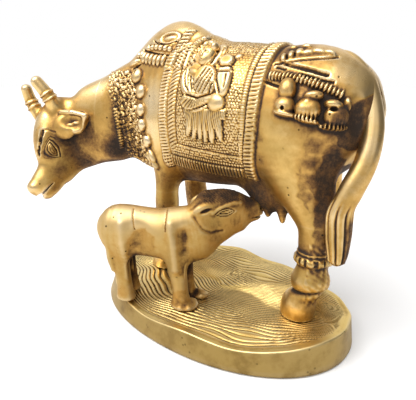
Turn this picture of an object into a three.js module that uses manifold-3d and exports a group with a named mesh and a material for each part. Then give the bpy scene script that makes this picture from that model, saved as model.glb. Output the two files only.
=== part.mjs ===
// A cast-brass zebu cow that stands over its suckling calf on an oval base with a rippled top.
// Sizes are in millimetres. +Z is up, -X is the cow's front, -Y is its left flank, where the calf stands.
// The origin is the centre of the base's flat underside.
import * as THREE from "three";
import { mergeVertices } from "three/addons/utils/BufferGeometryUtils.js";
import Module from "manifold-3d";

const wasm = await Module();
wasm.setup();

// Driving dimensions of the base.
const BASE_HALF_LENGTH = 68.5;
const BASE_HALF_WIDTH = 44.6;
const BASE_HEIGHT = 11.2;
const BASE_ROUNDNESS = 2.1; // exponent of the superellipse outline
const BASE_END_DRAFT = 5.5; // how far the front end leans in towards the top
const BASE_SIDE_DRAFT = 1.2;
const RIPPLE_HEIGHT = 0.7;
const RIPPLE_ROWS = 24; // an even number of rows from side to side
const RIPPLE_COLUMNS = 16;
const RIPPLE_SWAY = 2.4;
const BASE_SIDES = 60;
// The rim's height every 20 degrees, from the rump's end round by the far side.
const RIM_HEIGHTS = [13.2, 11.8, 10.8, 10.4, 10.8, 12, 12.2, 11.4, 12, 12, 11.8, 11.4, 10.8, 9.8, 11.9, 10.3, 12, 13.8];

// Driving dimensions of the cow.
const COW_Y = 11.5; // the cow's middle plane
const HOOF_GAP = 0.3; // clear space between separate castings
const SHORTEST_EDGE = 1.1;
const GROUND = BASE_HEIGHT + RIPPLE_HEIGHT / 2 + HOOF_GAP; // level of the soles
const CLOTH_FRONT = -29.5;
const CLOTH_BACK = 27;
const COLLAR_FROM = 1.4; // station numbers along the neck
const COLLAR_TO = 2.6;
const COLLAR_THICKNESS = 0.9;
const CLOTH_THICKNESS = 0.9;
const CLOTH_HEM_ANGLE = 138; // degrees down from the spine, each side
const FIELD_FRONT = -18.5;
const FIELD_BACK = 18.5;
const FIELD_HEM_ANGLE = 112;
const BORDER_HEIGHT = 0.9;
const CLOTH_RADIUS = 28;
const RIB_PITCH = 4.8;

const BRASS = new THREE.MeshStandardMaterial({ color: 0xb58a3a, metalness: 1, roughness: 0.38 });
const DULL_BRASS = new THREE.MeshStandardMaterial({ color: 0xa88340, metalness: 1, roughness: 0.5 });

const UP = new THREE.Vector3(0, 0, 1);
const FORWARD = new THREE.Vector3(1, 0, 0);
const SIDEWAYS = new THREE.Vector3(0, 1, 0);
const vec = (x, y, z) => new THREE.Vector3(x, y, z);
const radians = (degrees) => THREE.MathUtils.degToRad(degrees);

// A closed geometry as a solid, with its shared vertices merged.
function solid(geometry) {
  const bare = new THREE.BufferGeometry().setAttribute("position", geometry.getAttribute("position").clone());
  if (geometry.index) bare.setIndex(geometry.index.clone());
  const merged = mergeVertices(bare.index ? bare.toNonIndexed() : bare, 1e-4);
  return new wasm.Manifold(
    new wasm.Mesh({
      numProp: 3,
      vertProperties: merged.attributes.position.array,
      triVerts: new Uint32Array(merged.index.array),
    }),
  );
}

// The union of several solids.
function join(solids) {
  return solids.reduce((whole, next) => whole.add(next));
}

// A solid's corners, its triangles and, for each corner, the numbers of the triangles round it.
function netOf(body) {
  const { vertProperties, triVerts, numProp } = body.getMesh();
  const corners = [];
  for (let i = 0; i < vertProperties.length; i += numProp) corners.push(vec(...vertProperties.slice(i, i + 3)));
  const triangles = [];
  for (let i = 0; i < triVerts.length; i += 3) triangles.push([...triVerts.slice(i, i + 3)]);
  const round = corners.map(() => new Set());
  triangles.forEach((triangle, i) => triangle.forEach((corner) => round[corner].add(i)));
  return { corners, triangles, round };
}

// True when moving corner b to corner a keeps the skin closed and turns no triangle far.
function mayMerge({ corners, triangles, round }, a, b) {
  const neighbours = (corner) => new Set([...round[corner]].flatMap((i) => triangles[i]));
  const nearA = neighbours(a);
  if (!nearA.has(b)) return false;
  const shared = [...neighbours(b)].filter((corner) => corner !== a && corner !== b && nearA.has(corner));
  if (shared.length !== 2) return false;
  const facing = (triangle) => {
    const [p, q, r] = triangle.map((corner) => corners[corner]);
    return q.clone().sub(p).cross(r.clone().sub(p));
  };
  return [...round[b]].every((i) => {
    if (triangles[i].includes(a)) return true;
    const before = facing(triangles[i]);
    const after = facing(triangles[i].map((corner) => (corner === b ? a : corner)));
    return after.length() > 1e-4 && (before.length() < 1e-3 || before.angleTo(after) < radians(50));
  });
}

// The same solid with the slivers along its joins merged away: no edge shorter than the given size where it can be.
function smoothJoins(body, shortest) {
  const net = netOf(body);
  const { corners, triangles, round } = net;
  const length = ([a, b]) => corners[a].distanceTo(corners[b]);
  const edges = triangles.flatMap(([a, b, c]) => [[a, b], [b, c], [c, a]]).filter(([a, b]) => a < b);
  const short = edges.filter((edge) => length(edge) < shortest).sort((e, f) => length(e) - length(f));
  for (const [a, b] of short) {
    if (!round[a].size || !round[b].size || length([a, b]) > shortest) continue;
    if (!mayMerge(net, a, b)) continue;
    for (const i of [...round[b]])
      if (triangles[i].includes(a)) triangles[i].forEach((corner) => round[corner].delete(i));
      else {
        triangles[i][triangles[i].indexOf(b)] = a;
        round[a].add(i);
      }
    round[b].clear();
  }
  const kept = triangles.filter((triangle, i) => round[triangle[0]].has(i));
  return solid(new THREE.BufferGeometry().setFromPoints(corners).setIndex(kept.flat()));
}

// A solid as a named mesh.
function meshOf(name, body, material) {
  const { vertProperties, triVerts, numProp } = body.getMesh();
  const geometry = new THREE.BufferGeometry();
  const places = new Float32Array((vertProperties.length / numProp) * 3);
  for (let i = 0; i < places.length / 3; i++)
    for (let k = 0; k < 3; k++) places[i * 3 + k] = vertProperties[i * numProp + k];
  geometry.setAttribute("position", new THREE.BufferAttribute(places, 3));
  geometry.setIndex(new THREE.BufferAttribute(new Uint32Array(triVerts), 1));
  geometry.computeVertexNormals();
  const mesh = new THREE.Mesh(geometry, material);
  mesh.name = name;
  return mesh;
}

// A geometry from rings of points, each ring closed, with a fan at both ends.
function skin(rings, first, last) {
  const sides = rings[0].length;
  const points = [first, ...rings.flat(), last];
  const at = (ring, side) => 1 + ring * sides + (side % sides);
  const faces = [];
  for (let j = 0; j < sides; j++) faces.push(0, at(0, j + 1), at(0, j));
  for (let i = 0; i + 1 < rings.length; i++)
    for (let j = 0; j < sides; j++)
      faces.push(at(i, j), at(i, j + 1), at(i + 1, j), at(i, j + 1), at(i + 1, j + 1), at(i + 1, j));
  const end = points.length - 1;
  for (let j = 0; j < sides; j++) faces.push(end, at(rings.length - 1, j), at(rings.length - 1, j + 1));
  return new THREE.BufferGeometry().setFromPoints(points).setIndex(faces);
}

// A smooth path through stations of [x, y, z, half width, half height].
class Limb {
  constructor(up, stations) {
    const axis = stations.map(([x, y, z]) => vec(x, y, z));
    const sizes = stations.map(([, , , width, height]) => vec(width, height, 0));
    this.up = up;
    this.spans = stations.length - 1;
    this.axis = new THREE.CatmullRomCurve3(axis, false, "catmullrom", 0.5);
    this.sizes = new THREE.CatmullRomCurve3(sizes, false, "catmullrom", 0.5);
  }

  // Centre, half sizes and section directions at a station number, whole or between.
  frame(station) {
    const t = THREE.MathUtils.clamp(station / this.spans, 0, 1);
    const step = 0.01;
    const ahead = this.axis.getPoint(Math.min(1, t + step));
    const along = ahead.sub(this.axis.getPoint(Math.max(0, t - step))).normalize();
    const side = along.clone().cross(this.up).normalize();
    const top = side.clone().cross(along);
    const size = this.sizes.getPoint(t);
    return { centre: this.axis.getPoint(t), along, side, top, width: size.x, height: size.y };
  }

  // The point of the skin at an angle in degrees from the section's top, raised outwards.
  point(station, angle, raised = 0) {
    const { centre, side, top, width, height } = this.frame(station);
    const a = radians(angle);
    const out = side.clone().multiplyScalar(Math.sin(a) * height);
    out.addScaledVector(top, Math.cos(a) * width).normalize();
    return centre
      .addScaledVector(side, width * Math.sin(a))
      .addScaledVector(top, height * Math.cos(a))
      .addScaledVector(out, raised);
  }

  // The whole limb with rounded ends. relief(station, angle) raises the skin.
  body({ sides = 14, steps = 2, round = 0.6, relief = () => 0 } = {}) {
    const rings = [];
    const ring = (station, shrink, shift) => {
      const { centre, along, side, top, width, height } = this.frame(station);
      return Array.from({ length: sides }, (_, j) => {
        const a = (j / sides) * 2 * Math.PI;
        const raised = relief(station, THREE.MathUtils.radToDeg(a));
        return centre
          .clone()
          .addScaledVector(side, (width + raised) * shrink * Math.sin(a))
          .addScaledVector(top, (height + raised) * shrink * Math.cos(a))
          .addScaledVector(along, shift);
      });
    };
    const cap = (station, way) => {
      const { width, height } = this.frame(station);
      const reach = round * Math.min(width, height) * way;
      return [ring(station, Math.SQRT1_2, reach * Math.SQRT1_2), reach];
    };
    const [firstCap, firstReach] = cap(0, -1);
    const [lastCap, lastReach] = cap(this.spans, 1);
    rings.push(firstCap);
    const count = Math.round(this.spans * steps);
    for (let i = 0; i <= count; i++) rings.push(ring((i / count) * this.spans, 1, 0));
    rings.push(lastCap);
    const start = this.frame(0);
    const end = this.frame(this.spans);
    return solid(
      skin(
        rings,
        start.centre.clone().addScaledVector(start.along, firstReach),
        end.centre.clone().addScaledVector(end.along, lastReach),
      ),
    );
  }

  // A plate on the skin over a grid of stations and angles, with its lower face buried.
  plate(stations, angles, height, buried = 1.6) {
    const grid = (raise) => angles.map((angle, r) => stations.map((at, c) => this.point(at, angle, raise(c, r))));
    return solid(slab(grid(height), grid(() => -buried)));
  }
}

// Evenly spaced values from one number to another.
function spread(from, to, parts) {
  return Array.from({ length: parts + 1 }, (_, i) => from + ((to - from) * i) / parts);
}

// A closed slab between two grids of points of the same shape.
function slab(upper, lower) {
  const rows = upper.length;
  const columns = upper[0].length;
  const count = rows * columns;
  const at = (layer, r, c) => layer * count + r * columns + c;
  const faces = [];
  const quad = (a, b, c, d) => faces.push(a, b, c, a, c, d);
  for (let r = 0; r + 1 < rows; r++)
    for (let c = 0; c + 1 < columns; c++) {
      quad(at(0, r, c), at(0, r, c + 1), at(0, r + 1, c + 1), at(0, r + 1, c));
      quad(at(1, r, c), at(1, r + 1, c), at(1, r + 1, c + 1), at(1, r, c + 1));
    }
  for (let c = 0; c + 1 < columns; c++) {
    quad(at(0, 0, c + 1), at(0, 0, c), at(1, 0, c), at(1, 0, c + 1));
    quad(at(0, rows - 1, c), at(0, rows - 1, c + 1), at(1, rows - 1, c + 1), at(1, rows - 1, c));
  }
  for (let r = 0; r + 1 < rows; r++) {
    quad(at(0, r, 0), at(0, r + 1, 0), at(1, r + 1, 0), at(1, r, 0));
    quad(at(0, r + 1, columns - 1), at(0, r, columns - 1), at(1, r, columns - 1), at(1, r + 1, columns - 1));
  }
  const points = [...upper.flat(), ...lower.flat()];
  const geometry = new THREE.BufferGeometry().setFromPoints(points).setIndex(faces);
  return outward(geometry);
}

// The same geometry with its faces turned outwards, whichever way its grid ran.
function outward(geometry) {
  const place = geometry.getAttribute("position");
  const index = geometry.index.array;
  const corner = (i) => new THREE.Vector3().fromBufferAttribute(place, index[i]);
  let volume = 0;
  for (let i = 0; i < index.length; i += 3) volume += corner(i).dot(corner(i + 1).cross(corner(i + 2)));
  if (volume < 0)
    for (let i = 0; i < index.length; i += 3) [index[i + 1], index[i + 2]] = [index[i + 2], index[i + 1]];
  return geometry;
}

// An ellipsoid with half sizes along its own three directions.
function blob(centre, [a, b, c], [along, across, out] = [FORWARD, SIDEWAYS, UP], detail = 8) {
  const turn = new THREE.Matrix4().makeBasis(along, across, out).setPosition(centre);
  const geometry = new THREE.SphereGeometry(1, detail, Math.max(4, Math.round(detail * 0.6)));
  return solid(outward(geometry.scale(a, b, c).applyMatrix4(turn)));
}

// The section directions of a limb's skin: along the limb, round it, and outwards.
function skinAxes(limb, station, angle) {
  const here = limb.point(station, angle);
  const along = limb.point(station + 0.02, angle).sub(here).normalize();
  const out = limb.point(station, angle, 1).sub(here).normalize();
  const round = out.clone().cross(along).normalize();
  return [round.clone().cross(out).normalize(), round, out];
}

// A lump on a limb's skin, half buried: half sizes along the limb, round it, and outwards.
function lump(limb, station, angle, sizes, detail = 8, raised = 0) {
  return blob(limb.point(station, angle, raised), sizes, skinAxes(limb, station, angle), detail);
}

// The trunk runs straight back, so its station number follows from x.
const TRUNK_STATIONS = [
  [-57, COW_Y, 90, 9, 12],
  [-52, COW_Y, 91, 15, 23],
  [-42, COW_Y, 92.5, 19, 29.5],
  [-22, COW_Y, 95, 21.5, 34],
  [2, COW_Y, 96, 23, 33],
  [24, COW_Y, 97, 23, 30],
  [42, COW_Y, 100, 21.5, 27.5],
  [54, COW_Y, 101.5, 16, 19.5],
  [60, COW_Y, 102, 9, 10],
];
const trunk = new Limb(UP, TRUNK_STATIONS);
const hump = new Limb(UP, [
  [-54, COW_Y - 1, 117.5, 5.5, 8.5],
  [-44, COW_Y, 123.5, 9, 13],
  [-33, COW_Y, 126.5, 9.8, 14.2],
  [-23, COW_Y, 124.5, 8.8, 12],
  [-12, COW_Y, 121, 6, 7],
]);
const neck = new Limb(UP, [
  [-34, COW_Y, 97, 15, 30.5],
  [-54, 9, 96, 14, 29],
  [-72, 0, 92.5, 11.5, 23],
  [-88, -8, 88, 10, 19],
  [-99, -13, 89, 9, 12],
]);

// The trunk's station number at a given x.
function trunkStation(x) {
  let low = 0;
  let high = trunk.spans;
  for (let i = 0; i < 30; i++) {
    const middle = (low + high) / 2;
    if (trunk.frame(middle).centre.x < x) low = middle;
    else high = middle;
  }
  return low;
}

// The head's own directions: down the face, to the cow's left, and out of the forehead.
const FACE = vec(0.02, -0.46, -0.89).normalize();
const LEFT = vec(0.9, -0.37, 0.21).addScaledVector(FACE, -vec(0.9, -0.37, 0.21).dot(FACE)).normalize();
const BROW = FACE.clone().cross(LEFT);
const SKULL = vec(-103, -13, 94);
// A place on the head, measured from the skull's centre to the left, out of the forehead and down the face.
function onHead(left, brow, face) {
  return SKULL.clone().addScaledVector(LEFT, left).addScaledVector(BROW, brow).addScaledVector(FACE, face);
}
// Sections of the head: how far down the face, how far out of the forehead, half width, half depth.
const HEAD_SECTIONS = [
  [-2, 1.4, 8.5, 9.8],
  [6, 2, 10.4, 12],
  [14, 1.8, 10.6, 12.2],
  [22, -0.2, 9.8, 11.6],
  [30, -3.2, 7.8, 10],
  [37, -2.8, 6.8, 9],
  [44, -0.6, 6.6, 8],
  [48.6, 0, 5.6, 6.8],
];
const headLimb = new Limb(
  BROW,
  HEAD_SECTIONS.map(([face, brow, width, depth]) => [...onHead(0, brow, face), width, depth]),
);

// A horn with two raised rings through places on the head; the right horn springs lower than the left.
const HORN_LEFT = [[6.5, 4, 3.5, 4.8], [7.2, 8, 0, 4.5], [8.5, 14, -4.4, 3.7], [7, 21.6, -9, 2.3]];
const HORN_RIGHT = [[-6, 6, 9, 4.6], [-6.8, 12, 6, 4.1], [-8.5, 19, 0, 3.4], [-7.5, 24, -6, 2]];
function horn(places) {
  const limb = new Limb(BROW, places.map(([left, brow, face, size]) => [...onHead(left, brow, face), size, size]));
  const ringed = (at) => (at > 0.5 && at < 2.5 ? 0.6 * Math.max(0, Math.cos(at * 3 * Math.PI)) : 0);
  return limb.body({ sides: 6, steps: 3, round: 0.9, relief: ringed });
}

// A cupped ear like a folded leaf, hollow towards the front.
function ear(side) {
  const root = onHead(8 * side, 1, 7);
  const tip = onHead(17.5 * side, -8.6, 1.5);
  const along = tip.clone().sub(root).normalize();
  const middle = root.clone().lerp(tip, 0.45);
  const broad = FACE.clone().addScaledVector(along, -FACE.dot(along)).normalize();
  const thin = along.clone().cross(broad).multiplyScalar(side);
  const reach = root.distanceTo(tip) / 2;
  const leaf = blob(middle, [reach + 1.5, 6.4, 3.6], [along, broad, thin], 8);
  const dish = blob(middle.clone().addScaledVector(thin, 3.1), [reach - 1.4, 4.4, 2.6], [along, broad, thin], 6);
  return leaf.subtract(dish);
}

// The head with brows, almond eyes, a groove down the forehead, nostrils and a cut mouth.
function head() {
  const axes = [BROW, FACE, LEFT];
  const parts = [headLimb.body({ sides: 12, steps: 1.4, round: 0.7 }), horn(HORN_LEFT), horn(HORN_RIGHT)];
  const cuts = [blob(onHead(0, -5.2, 50.5), [1.2, 7.5, 12], axes, 6)];
  for (const side of [1, -1]) {
    parts.push(ear(side));
    parts.push(blob(onHead(8.4 * side, 3.6, 22.6), [3, 4.8, 2.4], axes, 6));
    parts.push(blob(onHead(6.4 * side, 7.6, 19), [2.4, 5.4, 2.6], axes, 6));
    cuts.push(blob(onHead(4.4 * side, 5, 48.4), [1.4, 1.8, 1.4], axes, 5));
  }
  return join(parts).subtract(join(cuts));
}

// The loose skin of the throat, from the jaw back to the neck.
function throat() {
  const skinFold = new Limb(UP, [
    [-99.5, -22.5, 65, 4.6, 9],
    [-97, -18, 68, 5.2, 9.4],
    [-93.5, -12, 72.5, 6.4, 10.4],
    [-86, -7, 78.5, 7.5, 11.4],
    [-76, -2, 82, 8, 12],
  ]);
  return skinFold.body({ sides: 10, steps: 1.3, round: 0.5 });
}

// A leg from stations, with an anklet ring at a given height and a split hoof.
function leg(stations, { anklet = 0, sides = 9, steps = 1.3, cleft = 0 } = {}) {
  const limb = new Limb(FORWARD, stations);
  let body = limb.body({ sides, steps, round: 0.05 });
  if (anklet) {
    const { centre, width, height } = limb.frame(anklet);
    body = body.add(blob(centre, [height + 1.9, width + 1.9, 3.4], undefined, 7));
  }
  const [x, y] = stations[stations.length - 1];
  const below = new THREE.BoxGeometry(60, 60, 40).translate(x, y, GROUND - 20);
  const shaped = body.subtract(solid(below));
  if (!cleft) return shaped;
  const slot = new THREE.BoxGeometry(cleft, 1, 6).translate(x - cleft / 2 - 3, y, GROUND + 3);
  return shaped.subtract(solid(slot));
}

// The four legs: left and right, in front and behind. The right hind foot stands a little forward.
function cowLegs() {
  const front = (y, lean) => [
    [-36, y + 3 * lean, 92, 9, 12],
    [-35 + lean, y + lean, 74, 7.6, 9],
    [-35.6 + lean, y, 60, 6, 6.3],
    [-35, y, 48, 6.3, 6.5],
    [-35, y, 36, 5, 5.2],
    [-35, y, 24, 5.5, 6],
    [-36, y, 17, 6, 6.5],
    [-38, y, GROUND, 7.5, 8.5],
  ];
  const hind = (x, y, lean) => [
    [x - 7, y + 5 * lean, 112, 10, 15],
    [x - 6, y + lean, 96, 13, 19],
    [x - 5, y, 82, 11, 17.5],
    [x - 0.6, y, 70, 8.5, 12.5],
    [x + 4.4, y, 58, 6.5, 8.4],
    [x + 4.4, y, 48, 5.5, 6.5],
    [x + 4, y, 37, 5.5, 6],
    [x + 3, y, 27, 6.3, 6.8],
    [x + 2, y, 19, 5.8, 6.2],
    [x, y, GROUND, 7.5, 8.5],
  ];
  return join([
    leg(front(-1, 1), { cleft: 8 }),
    leg(front(24, -1), { cleft: 8 }),
    leg(hind(45, -1, 1), { anklet: 6.7, cleft: 8 }),
    leg(hind(38.5, 24, -1), { anklet: 6.7, cleft: 8 }),
  ]);
}

// The tail hangs off the rump, swings to the left and ends in a grooved tuft against the hock.
function tail() {
  const limb = new Limb(SIDEWAYS, [
    [44, COW_Y, 122.5, 3.4, 3.4],
    [51, COW_Y, 121, 4, 3.8],
    [58.5, 10, 114.5, 4.4, 4.2],
    [63, 8, 106, 4.6, 4.4],
    [66, 5, 96, 4.6, 4.4],
    [66.2, 1, 85, 4.7, 4.4],
    [63.2, -3, 74, 5, 4.6],
    [60, -5, 65.5, 5.8, 5.2],
    [59, -6, 56, 6.5, 5.5],
    [58.5, -6, 48, 5.5, 4.8],
    [58.5, -6, 42.5, 3.5, 3.2],
  ]);
  const tuftStart = 7;
  const lock = (at, angle) => (at > tuftStart ? 0.7 * Math.cos(radians(angle) * 6) : 0);
  return limb.body({ sides: 12, steps: 1.1, round: 0.8, relief: lock });
}

// The udder with its four teats.
function udder() {
  const bag = new Limb(UP, [
    [13, COW_Y - 1, 69, 8, 6],
    [24, COW_Y - 2, 64.5, 11.5, 9.5],
    [38, COW_Y - 1, 66, 9, 8],
  ]);
  const parts = [bag.body({ sides: 10, steps: 1.5, round: 1 })];
  for (const [x, y, low] of [[24, 4, 53.5], [32, 3, 52.5], [25, 16, 54], [33, 16, 53]]) {
    const teat = new Limb(FORWARD, [[x, y, 64, 3, 3], [x, y, 58, 2.4, 2.4], [x + 0.5, y, low, 1.5, 1.5]]);
    parts.push(teat.body({ sides: 5, steps: 1, round: 1 }));
  }
  return join(parts);
}

// The saddle cloth: one plate over the back with ribbed bands before and behind, a cord and two hem bands.
function saddleCloth() {
  const profile = [
    [CLOTH_FRONT, 0, 0],
    [CLOTH_FRONT + 1, 1, 0.3],
    [CLOTH_FRONT + 4, 1, 0.3],
    [FIELD_FRONT - 5.2, 0, 0],
    [FIELD_FRONT - 2.6, 1, 1],
    [FIELD_FRONT, 0, 0],
    [FIELD_BACK, 0, 0],
    [FIELD_BACK + 1.2, 1, 0.3],
    [CLOTH_BACK - 1.2, 1, 0.3],
    [CLOTH_BACK, 0, 0],
  ];
  const ribs = Math.round((2 * Math.PI * CLOTH_RADIUS * CLOTH_HEM_ANGLE) / 180 / RIB_PITCH);
  const angles = spread(-CLOTH_HEM_ANGLE, CLOTH_HEM_ANGLE, ribs * 2);
  const height = (c, r) => {
    const [, rib, groove] = profile[c];
    const hem = Math.abs(angles[r]) > FIELD_HEM_ANGLE ? 0.8 : 0;
    return CLOTH_THICKNESS + BORDER_HEIGHT * Math.max(hem, r % 2 ? rib : groove);
  };
  const stations = profile.map(([x]) => trunkStation(x));
  return trunk.plate(stations, angles, height);
}

// The seated figure on each flank: crowned head, chest, arms, folded legs and hanging pleats.
function seatedFigure(side, plain) {
  const put = (x, angle, sizes, detail = 6) =>
    lump(trunk, trunkStation(x), side * angle, sizes, detail, CLOTH_THICKNESS - 0.2);
  const parts = [
    put(-4.5, 37, [3.4, 3.6, 3.2], 8),
    put(-4.5, 60, [5, 7, 3.2]),
    put(6.6, 77, [4, 3.8, 4]),
    put(-1, 86, [9, 5, 3]),
  ];
  if (plain) return join(parts);
  parts.push(put(-2, 26, [2.8, 3, 2.2]));
  parts.push(put(8, 53, [2.2, 9, 1.8]));
  parts.push(put(-8, 78, [4.6, 3.2, 3]));
  for (const [x, angle] of [[-6, 97], [-1.5, 99], [3, 99]]) parts.push(put(x, angle, [1.8, 5.4, 2.2]));
  return join(parts);
}

// The neck, raised where the collar lies on it.
function collaredNeck() {
  const collar = (at) => (at > COLLAR_FROM && at < COLLAR_TO ? COLLAR_THICKNESS : 0);
  return neck.body({ sides: 16, steps: 2, round: 0.6, relief: collar });
}

// The garland behind the collar: large beads down both sides of the neck.
function garland() {
  const beadsEachSide = 5;
  const beads = [1, -1].flatMap((side) =>
    spread(38, 122, beadsEachSide - 1).map((angle) => lump(neck, 1.12, side * angle, [3.1, 3, 2.4], 6, 0.5)),
  );
  return join(beads);
}

// The hump's oval medallion with a fringe of petals below it, on both sides.
function humpOrnament() {
  const parts = [];
  const petals = 4;
  for (const side of [1, -1]) {
    parts.push(lump(hump, 1.9, side * 62, [5.5, 3.2, 1.8], 6, 0.3));
    for (let i = 0; i < petals; i++) parts.push(lump(hump, 0.5 + 0.3 * i, side * 98, [1.8, 4.2, 1.8], 5, 0.3));
  }
  return join(parts);
}

// The rump's straps and the bell and tassels that hang from them, on both sides.
function rumpOrnament() {
  const strap = (side, low, high, columns, height) =>
    trunk.plate(spread(trunkStation(28.5), trunkStation(54.5), columns), [side * low, side * high], height);
  const parts = [];
  for (const side of [1, -1]) {
    parts.push(strap(side, 12, 24, 5, () => 1));
    parts.push(strap(side, 50, 64, 12, (c) => 0.9 + (c % 2 ? 0.8 : 0)));
    const hang = (x, out, z, sizes) => parts.push(blob(vec(x, COW_Y - side * out, z), sizes, undefined, 6));
    hang(35.5, 22, 106, [4, 3.2, 7.4]);
    hang(43.5, 20.5, 104, [4.8, 3.2, 6.8]);
    hang(51.5, 16.5, 102, [4.8, 3.6, 7]);
  }
  return join(parts);
}

// The whole cow as one casting.
function cow() {
  return join([
    trunk.body({ sides: 22, steps: 1.5, round: 0.7 }),
    hump.body({ sides: 12, steps: 1.5, round: 0.9 }),
    collaredNeck(),
    throat(),
    head(),
    cowLegs(),
    tail(),
    udder(),
    saddleCloth(),
    seatedFigure(1, false),
    seatedFigure(-1, true),
    garland(),
    humpOrnament(),
    rumpOrnament(),
  ]);
}

// The calf's head, grown by some millimetres to give the room it needs beside the udder.
function calfHead(grown) {
  const face = new Limb(UP, [
    [3, -14, 57.5, 6.5, 8.5],
    [9, -8, 57.5, 7, 8.6],
    [15, -2, 56, 5.4, 6.6],
    [18.6, 1.4, 55.8, 4.6, 5.2],
  ]);
  return face.body({ sides: 10, steps: 1.6, round: 0.8 + grown / 5, relief: () => grown });
}

// The calf as one casting. It stands on the cow's left and lifts its head to the udder.
function calf() {
  const barrel = new Limb(UP, [
    [-36, -40, 47, 6, 8],
    [-31, -37.5, 46.5, 9, 12],
    [-18, -30, 45.5, 9.5, 11.8],
    [-6, -24, 45, 9.5, 12.5],
    [2, -19, 46, 7.5, 11],
  ]);
  const throat = new Limb(UP, [
    [-4, -23, 46, 7, 11],
    [2, -17, 51, 6.5, 10],
    [8, -11, 55, 6, 8.5],
  ]);
  const shin = (x, y, thigh) => [
    [x - 1, y, 43, 5, thigh],
    [x - 1, y - 0.5, 32, 4, 5.2],
    [x, y, 22, 3.4, 4],
    [x + 1, y, GROUND, 4.4, 5.4],
  ];
  const parts = [
    barrel.body({ sides: 14, steps: 1.75, round: 0.8 }),
    throat.body({ sides: 10, steps: 2, round: 0.6 }),
    calfHead(0),
    leg(shin(-2.5, -28, 7), { sides: 8, steps: 1.7 }),
    leg(shin(-7, -18.5, 7), { sides: 8, steps: 1.7 }),
    leg(shin(-29, -39, 8), { sides: 8, steps: 1.7 }),
    leg(shin(-34, -31, 8), { sides: 8, steps: 1.7 }),
  ];
  const tailLimb = new Limb(FORWARD, [
    [-32, -40, 55, 1.8, 1.8],
    [-31.5, -43, 49, 1.8, 1.8],
    [-32, -43.4, 42, 1.6, 1.6],
    [-32, -43, 34, 2.2, 2.2],
    [-31.6, -42.6, 27, 1.2, 1.2],
  ]);
  parts.push(tailLimb.body({ sides: 6, steps: 1.5, round: 1 }));
  const ahead = vec(0.7, 0.7, 0);
  const beside = vec(0.7, -0.7, 0);
  for (const side of [1, -1]) {
    const root = vec(4.5, -12.5, 59).addScaledVector(beside, 6 * side);
    parts.push(blob(root, [4.4, 2, 2.6], [ahead, beside, UP], 6));
    const eye = vec(11.5, -5.5, 58).addScaledVector(beside, 5.4 * side);
    parts.push(blob(eye, [2.3, 1.4, 1.4], [ahead, beside, UP], 6));
  }
  return join(parts);
}

// How high the rim of the base stands at an angle round it, in radians.
const rimCurve = new THREE.CatmullRomCurve3(RIM_HEIGHTS.map((z) => vec(0, 0, z)), true, "catmullrom", 0.5);
function rimHeight(angle) {
  const turns = angle / (2 * Math.PI);
  return rimCurve.getPoint(turns - Math.floor(turns)).z;
}

// The base's outline at an angle: the superellipse, drawn in by some millimetres.
function outline(angle, inset) {
  const power = 2 / BASE_ROUNDNESS;
  const curve = (v) => Math.sign(v) * Math.abs(v) ** power;
  const x = curve(Math.cos(angle)) * BASE_HALF_LENGTH;
  const y = curve(Math.sin(angle)) * BASE_HALF_WIDTH;
  const shrink = 1 - inset / Math.hypot(x, y);
  return [x * shrink, y * shrink];
}

// The base: a flat underside, a wall that leans in, and a top of rippled ground inside a wavy rim.
function base() {
  const lean = (angle) => BASE_SIDE_DRAFT + (BASE_END_DRAFT - BASE_SIDE_DRAFT) * Math.max(0, -Math.cos(angle)) ** 2;
  const angles = spread(0, -2 * Math.PI, BASE_SIDES).slice(0, -1);
  const ring = (inset, height) =>
    angles.map((a) => {
      const [x, y] = outline(a, inset(a));
      return vec(x, y, height(a));
    });
  const rings = [
    ring(() => 0, () => 0),
    ring((a) => lean(a) * 0.92, (a) => rimHeight(a) - 0.9),
    ring((a) => lean(a) + 0.8, rimHeight),
    ring((a) => lean(a) + 5, (a) => BASE_HEIGHT + (rimHeight(a) - BASE_HEIGHT) * 0.4),
    ring((a) => lean(a) + 9, () => BASE_HEIGHT - 2),
  ];
  const dish = solid(outward(skin(rings, vec(0, 0, 0), vec(0, 0, BASE_HEIGHT - 2))));
  return dish.add(ripples());
}

// Ridges that run the length of the base and sway as they go.
function ripples() {
  const edge = 6;
  const across = spread(-1, 1, RIPPLE_ROWS);
  const along = spread(-1, 1, RIPPLE_COLUMNS);
  const grid = (height) =>
    across.map((v, r) =>
      along.map((u) => {
        const half = Math.sqrt(1 - 0.5 * u * u);
        const wide = Math.sqrt(1 - 0.5 * v * v);
        const x = u * wide * (BASE_HALF_LENGTH - edge) + 3;
        const y = v * half * (BASE_HALF_WIDTH - edge);
        return vec(x, y + RIPPLE_SWAY * Math.sin(x / 10) * (1 - v * v), height(r));
      }),
    );
  const crest = (r) => BASE_HEIGHT + RIPPLE_HEIGHT * (r % 2 ? 0.5 : -0.5);
  return solid(slab(grid(crest), grid(() => BASE_HEIGHT - 4)));
}

const statue = new THREE.Group();
const baseSolid = base();
const cowSolid = smoothJoins(cow(), SHORTEST_EDGE).subtract(calfHead(1.6 * HOOF_GAP));
const calfSolid = smoothJoins(calf(), SHORTEST_EDGE);
statue.add(meshOf("base", baseSolid, DULL_BRASS));
statue.add(meshOf("cow", cowSolid, BRASS));
statue.add(meshOf("calf", calfSolid, BRASS));

export default statue;
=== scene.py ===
"""A cast-brass cow that suckles its calf on an oval, rippled base.

Sizes in this file are millimetres until a piece becomes an object, where they turn into metres.
+Z is up, -X is the cow's front and -Y its left flank, where the calf stands.

Each casting is worked out as a field: a number at every point of a block of space that is below zero
inside the metal. Limbs, lumps and hollows are blended into the field, its zero surface is drawn as a
mesh, and the carving is then raised on that mesh as a function of the surface's own two coordinates.
"""

import logging
from copy import copy
from dataclasses import dataclass, field as default_field, replace
from enum import Enum
from typing import Sequence

import bpy
import numpy as np
from mathutils import Matrix

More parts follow.
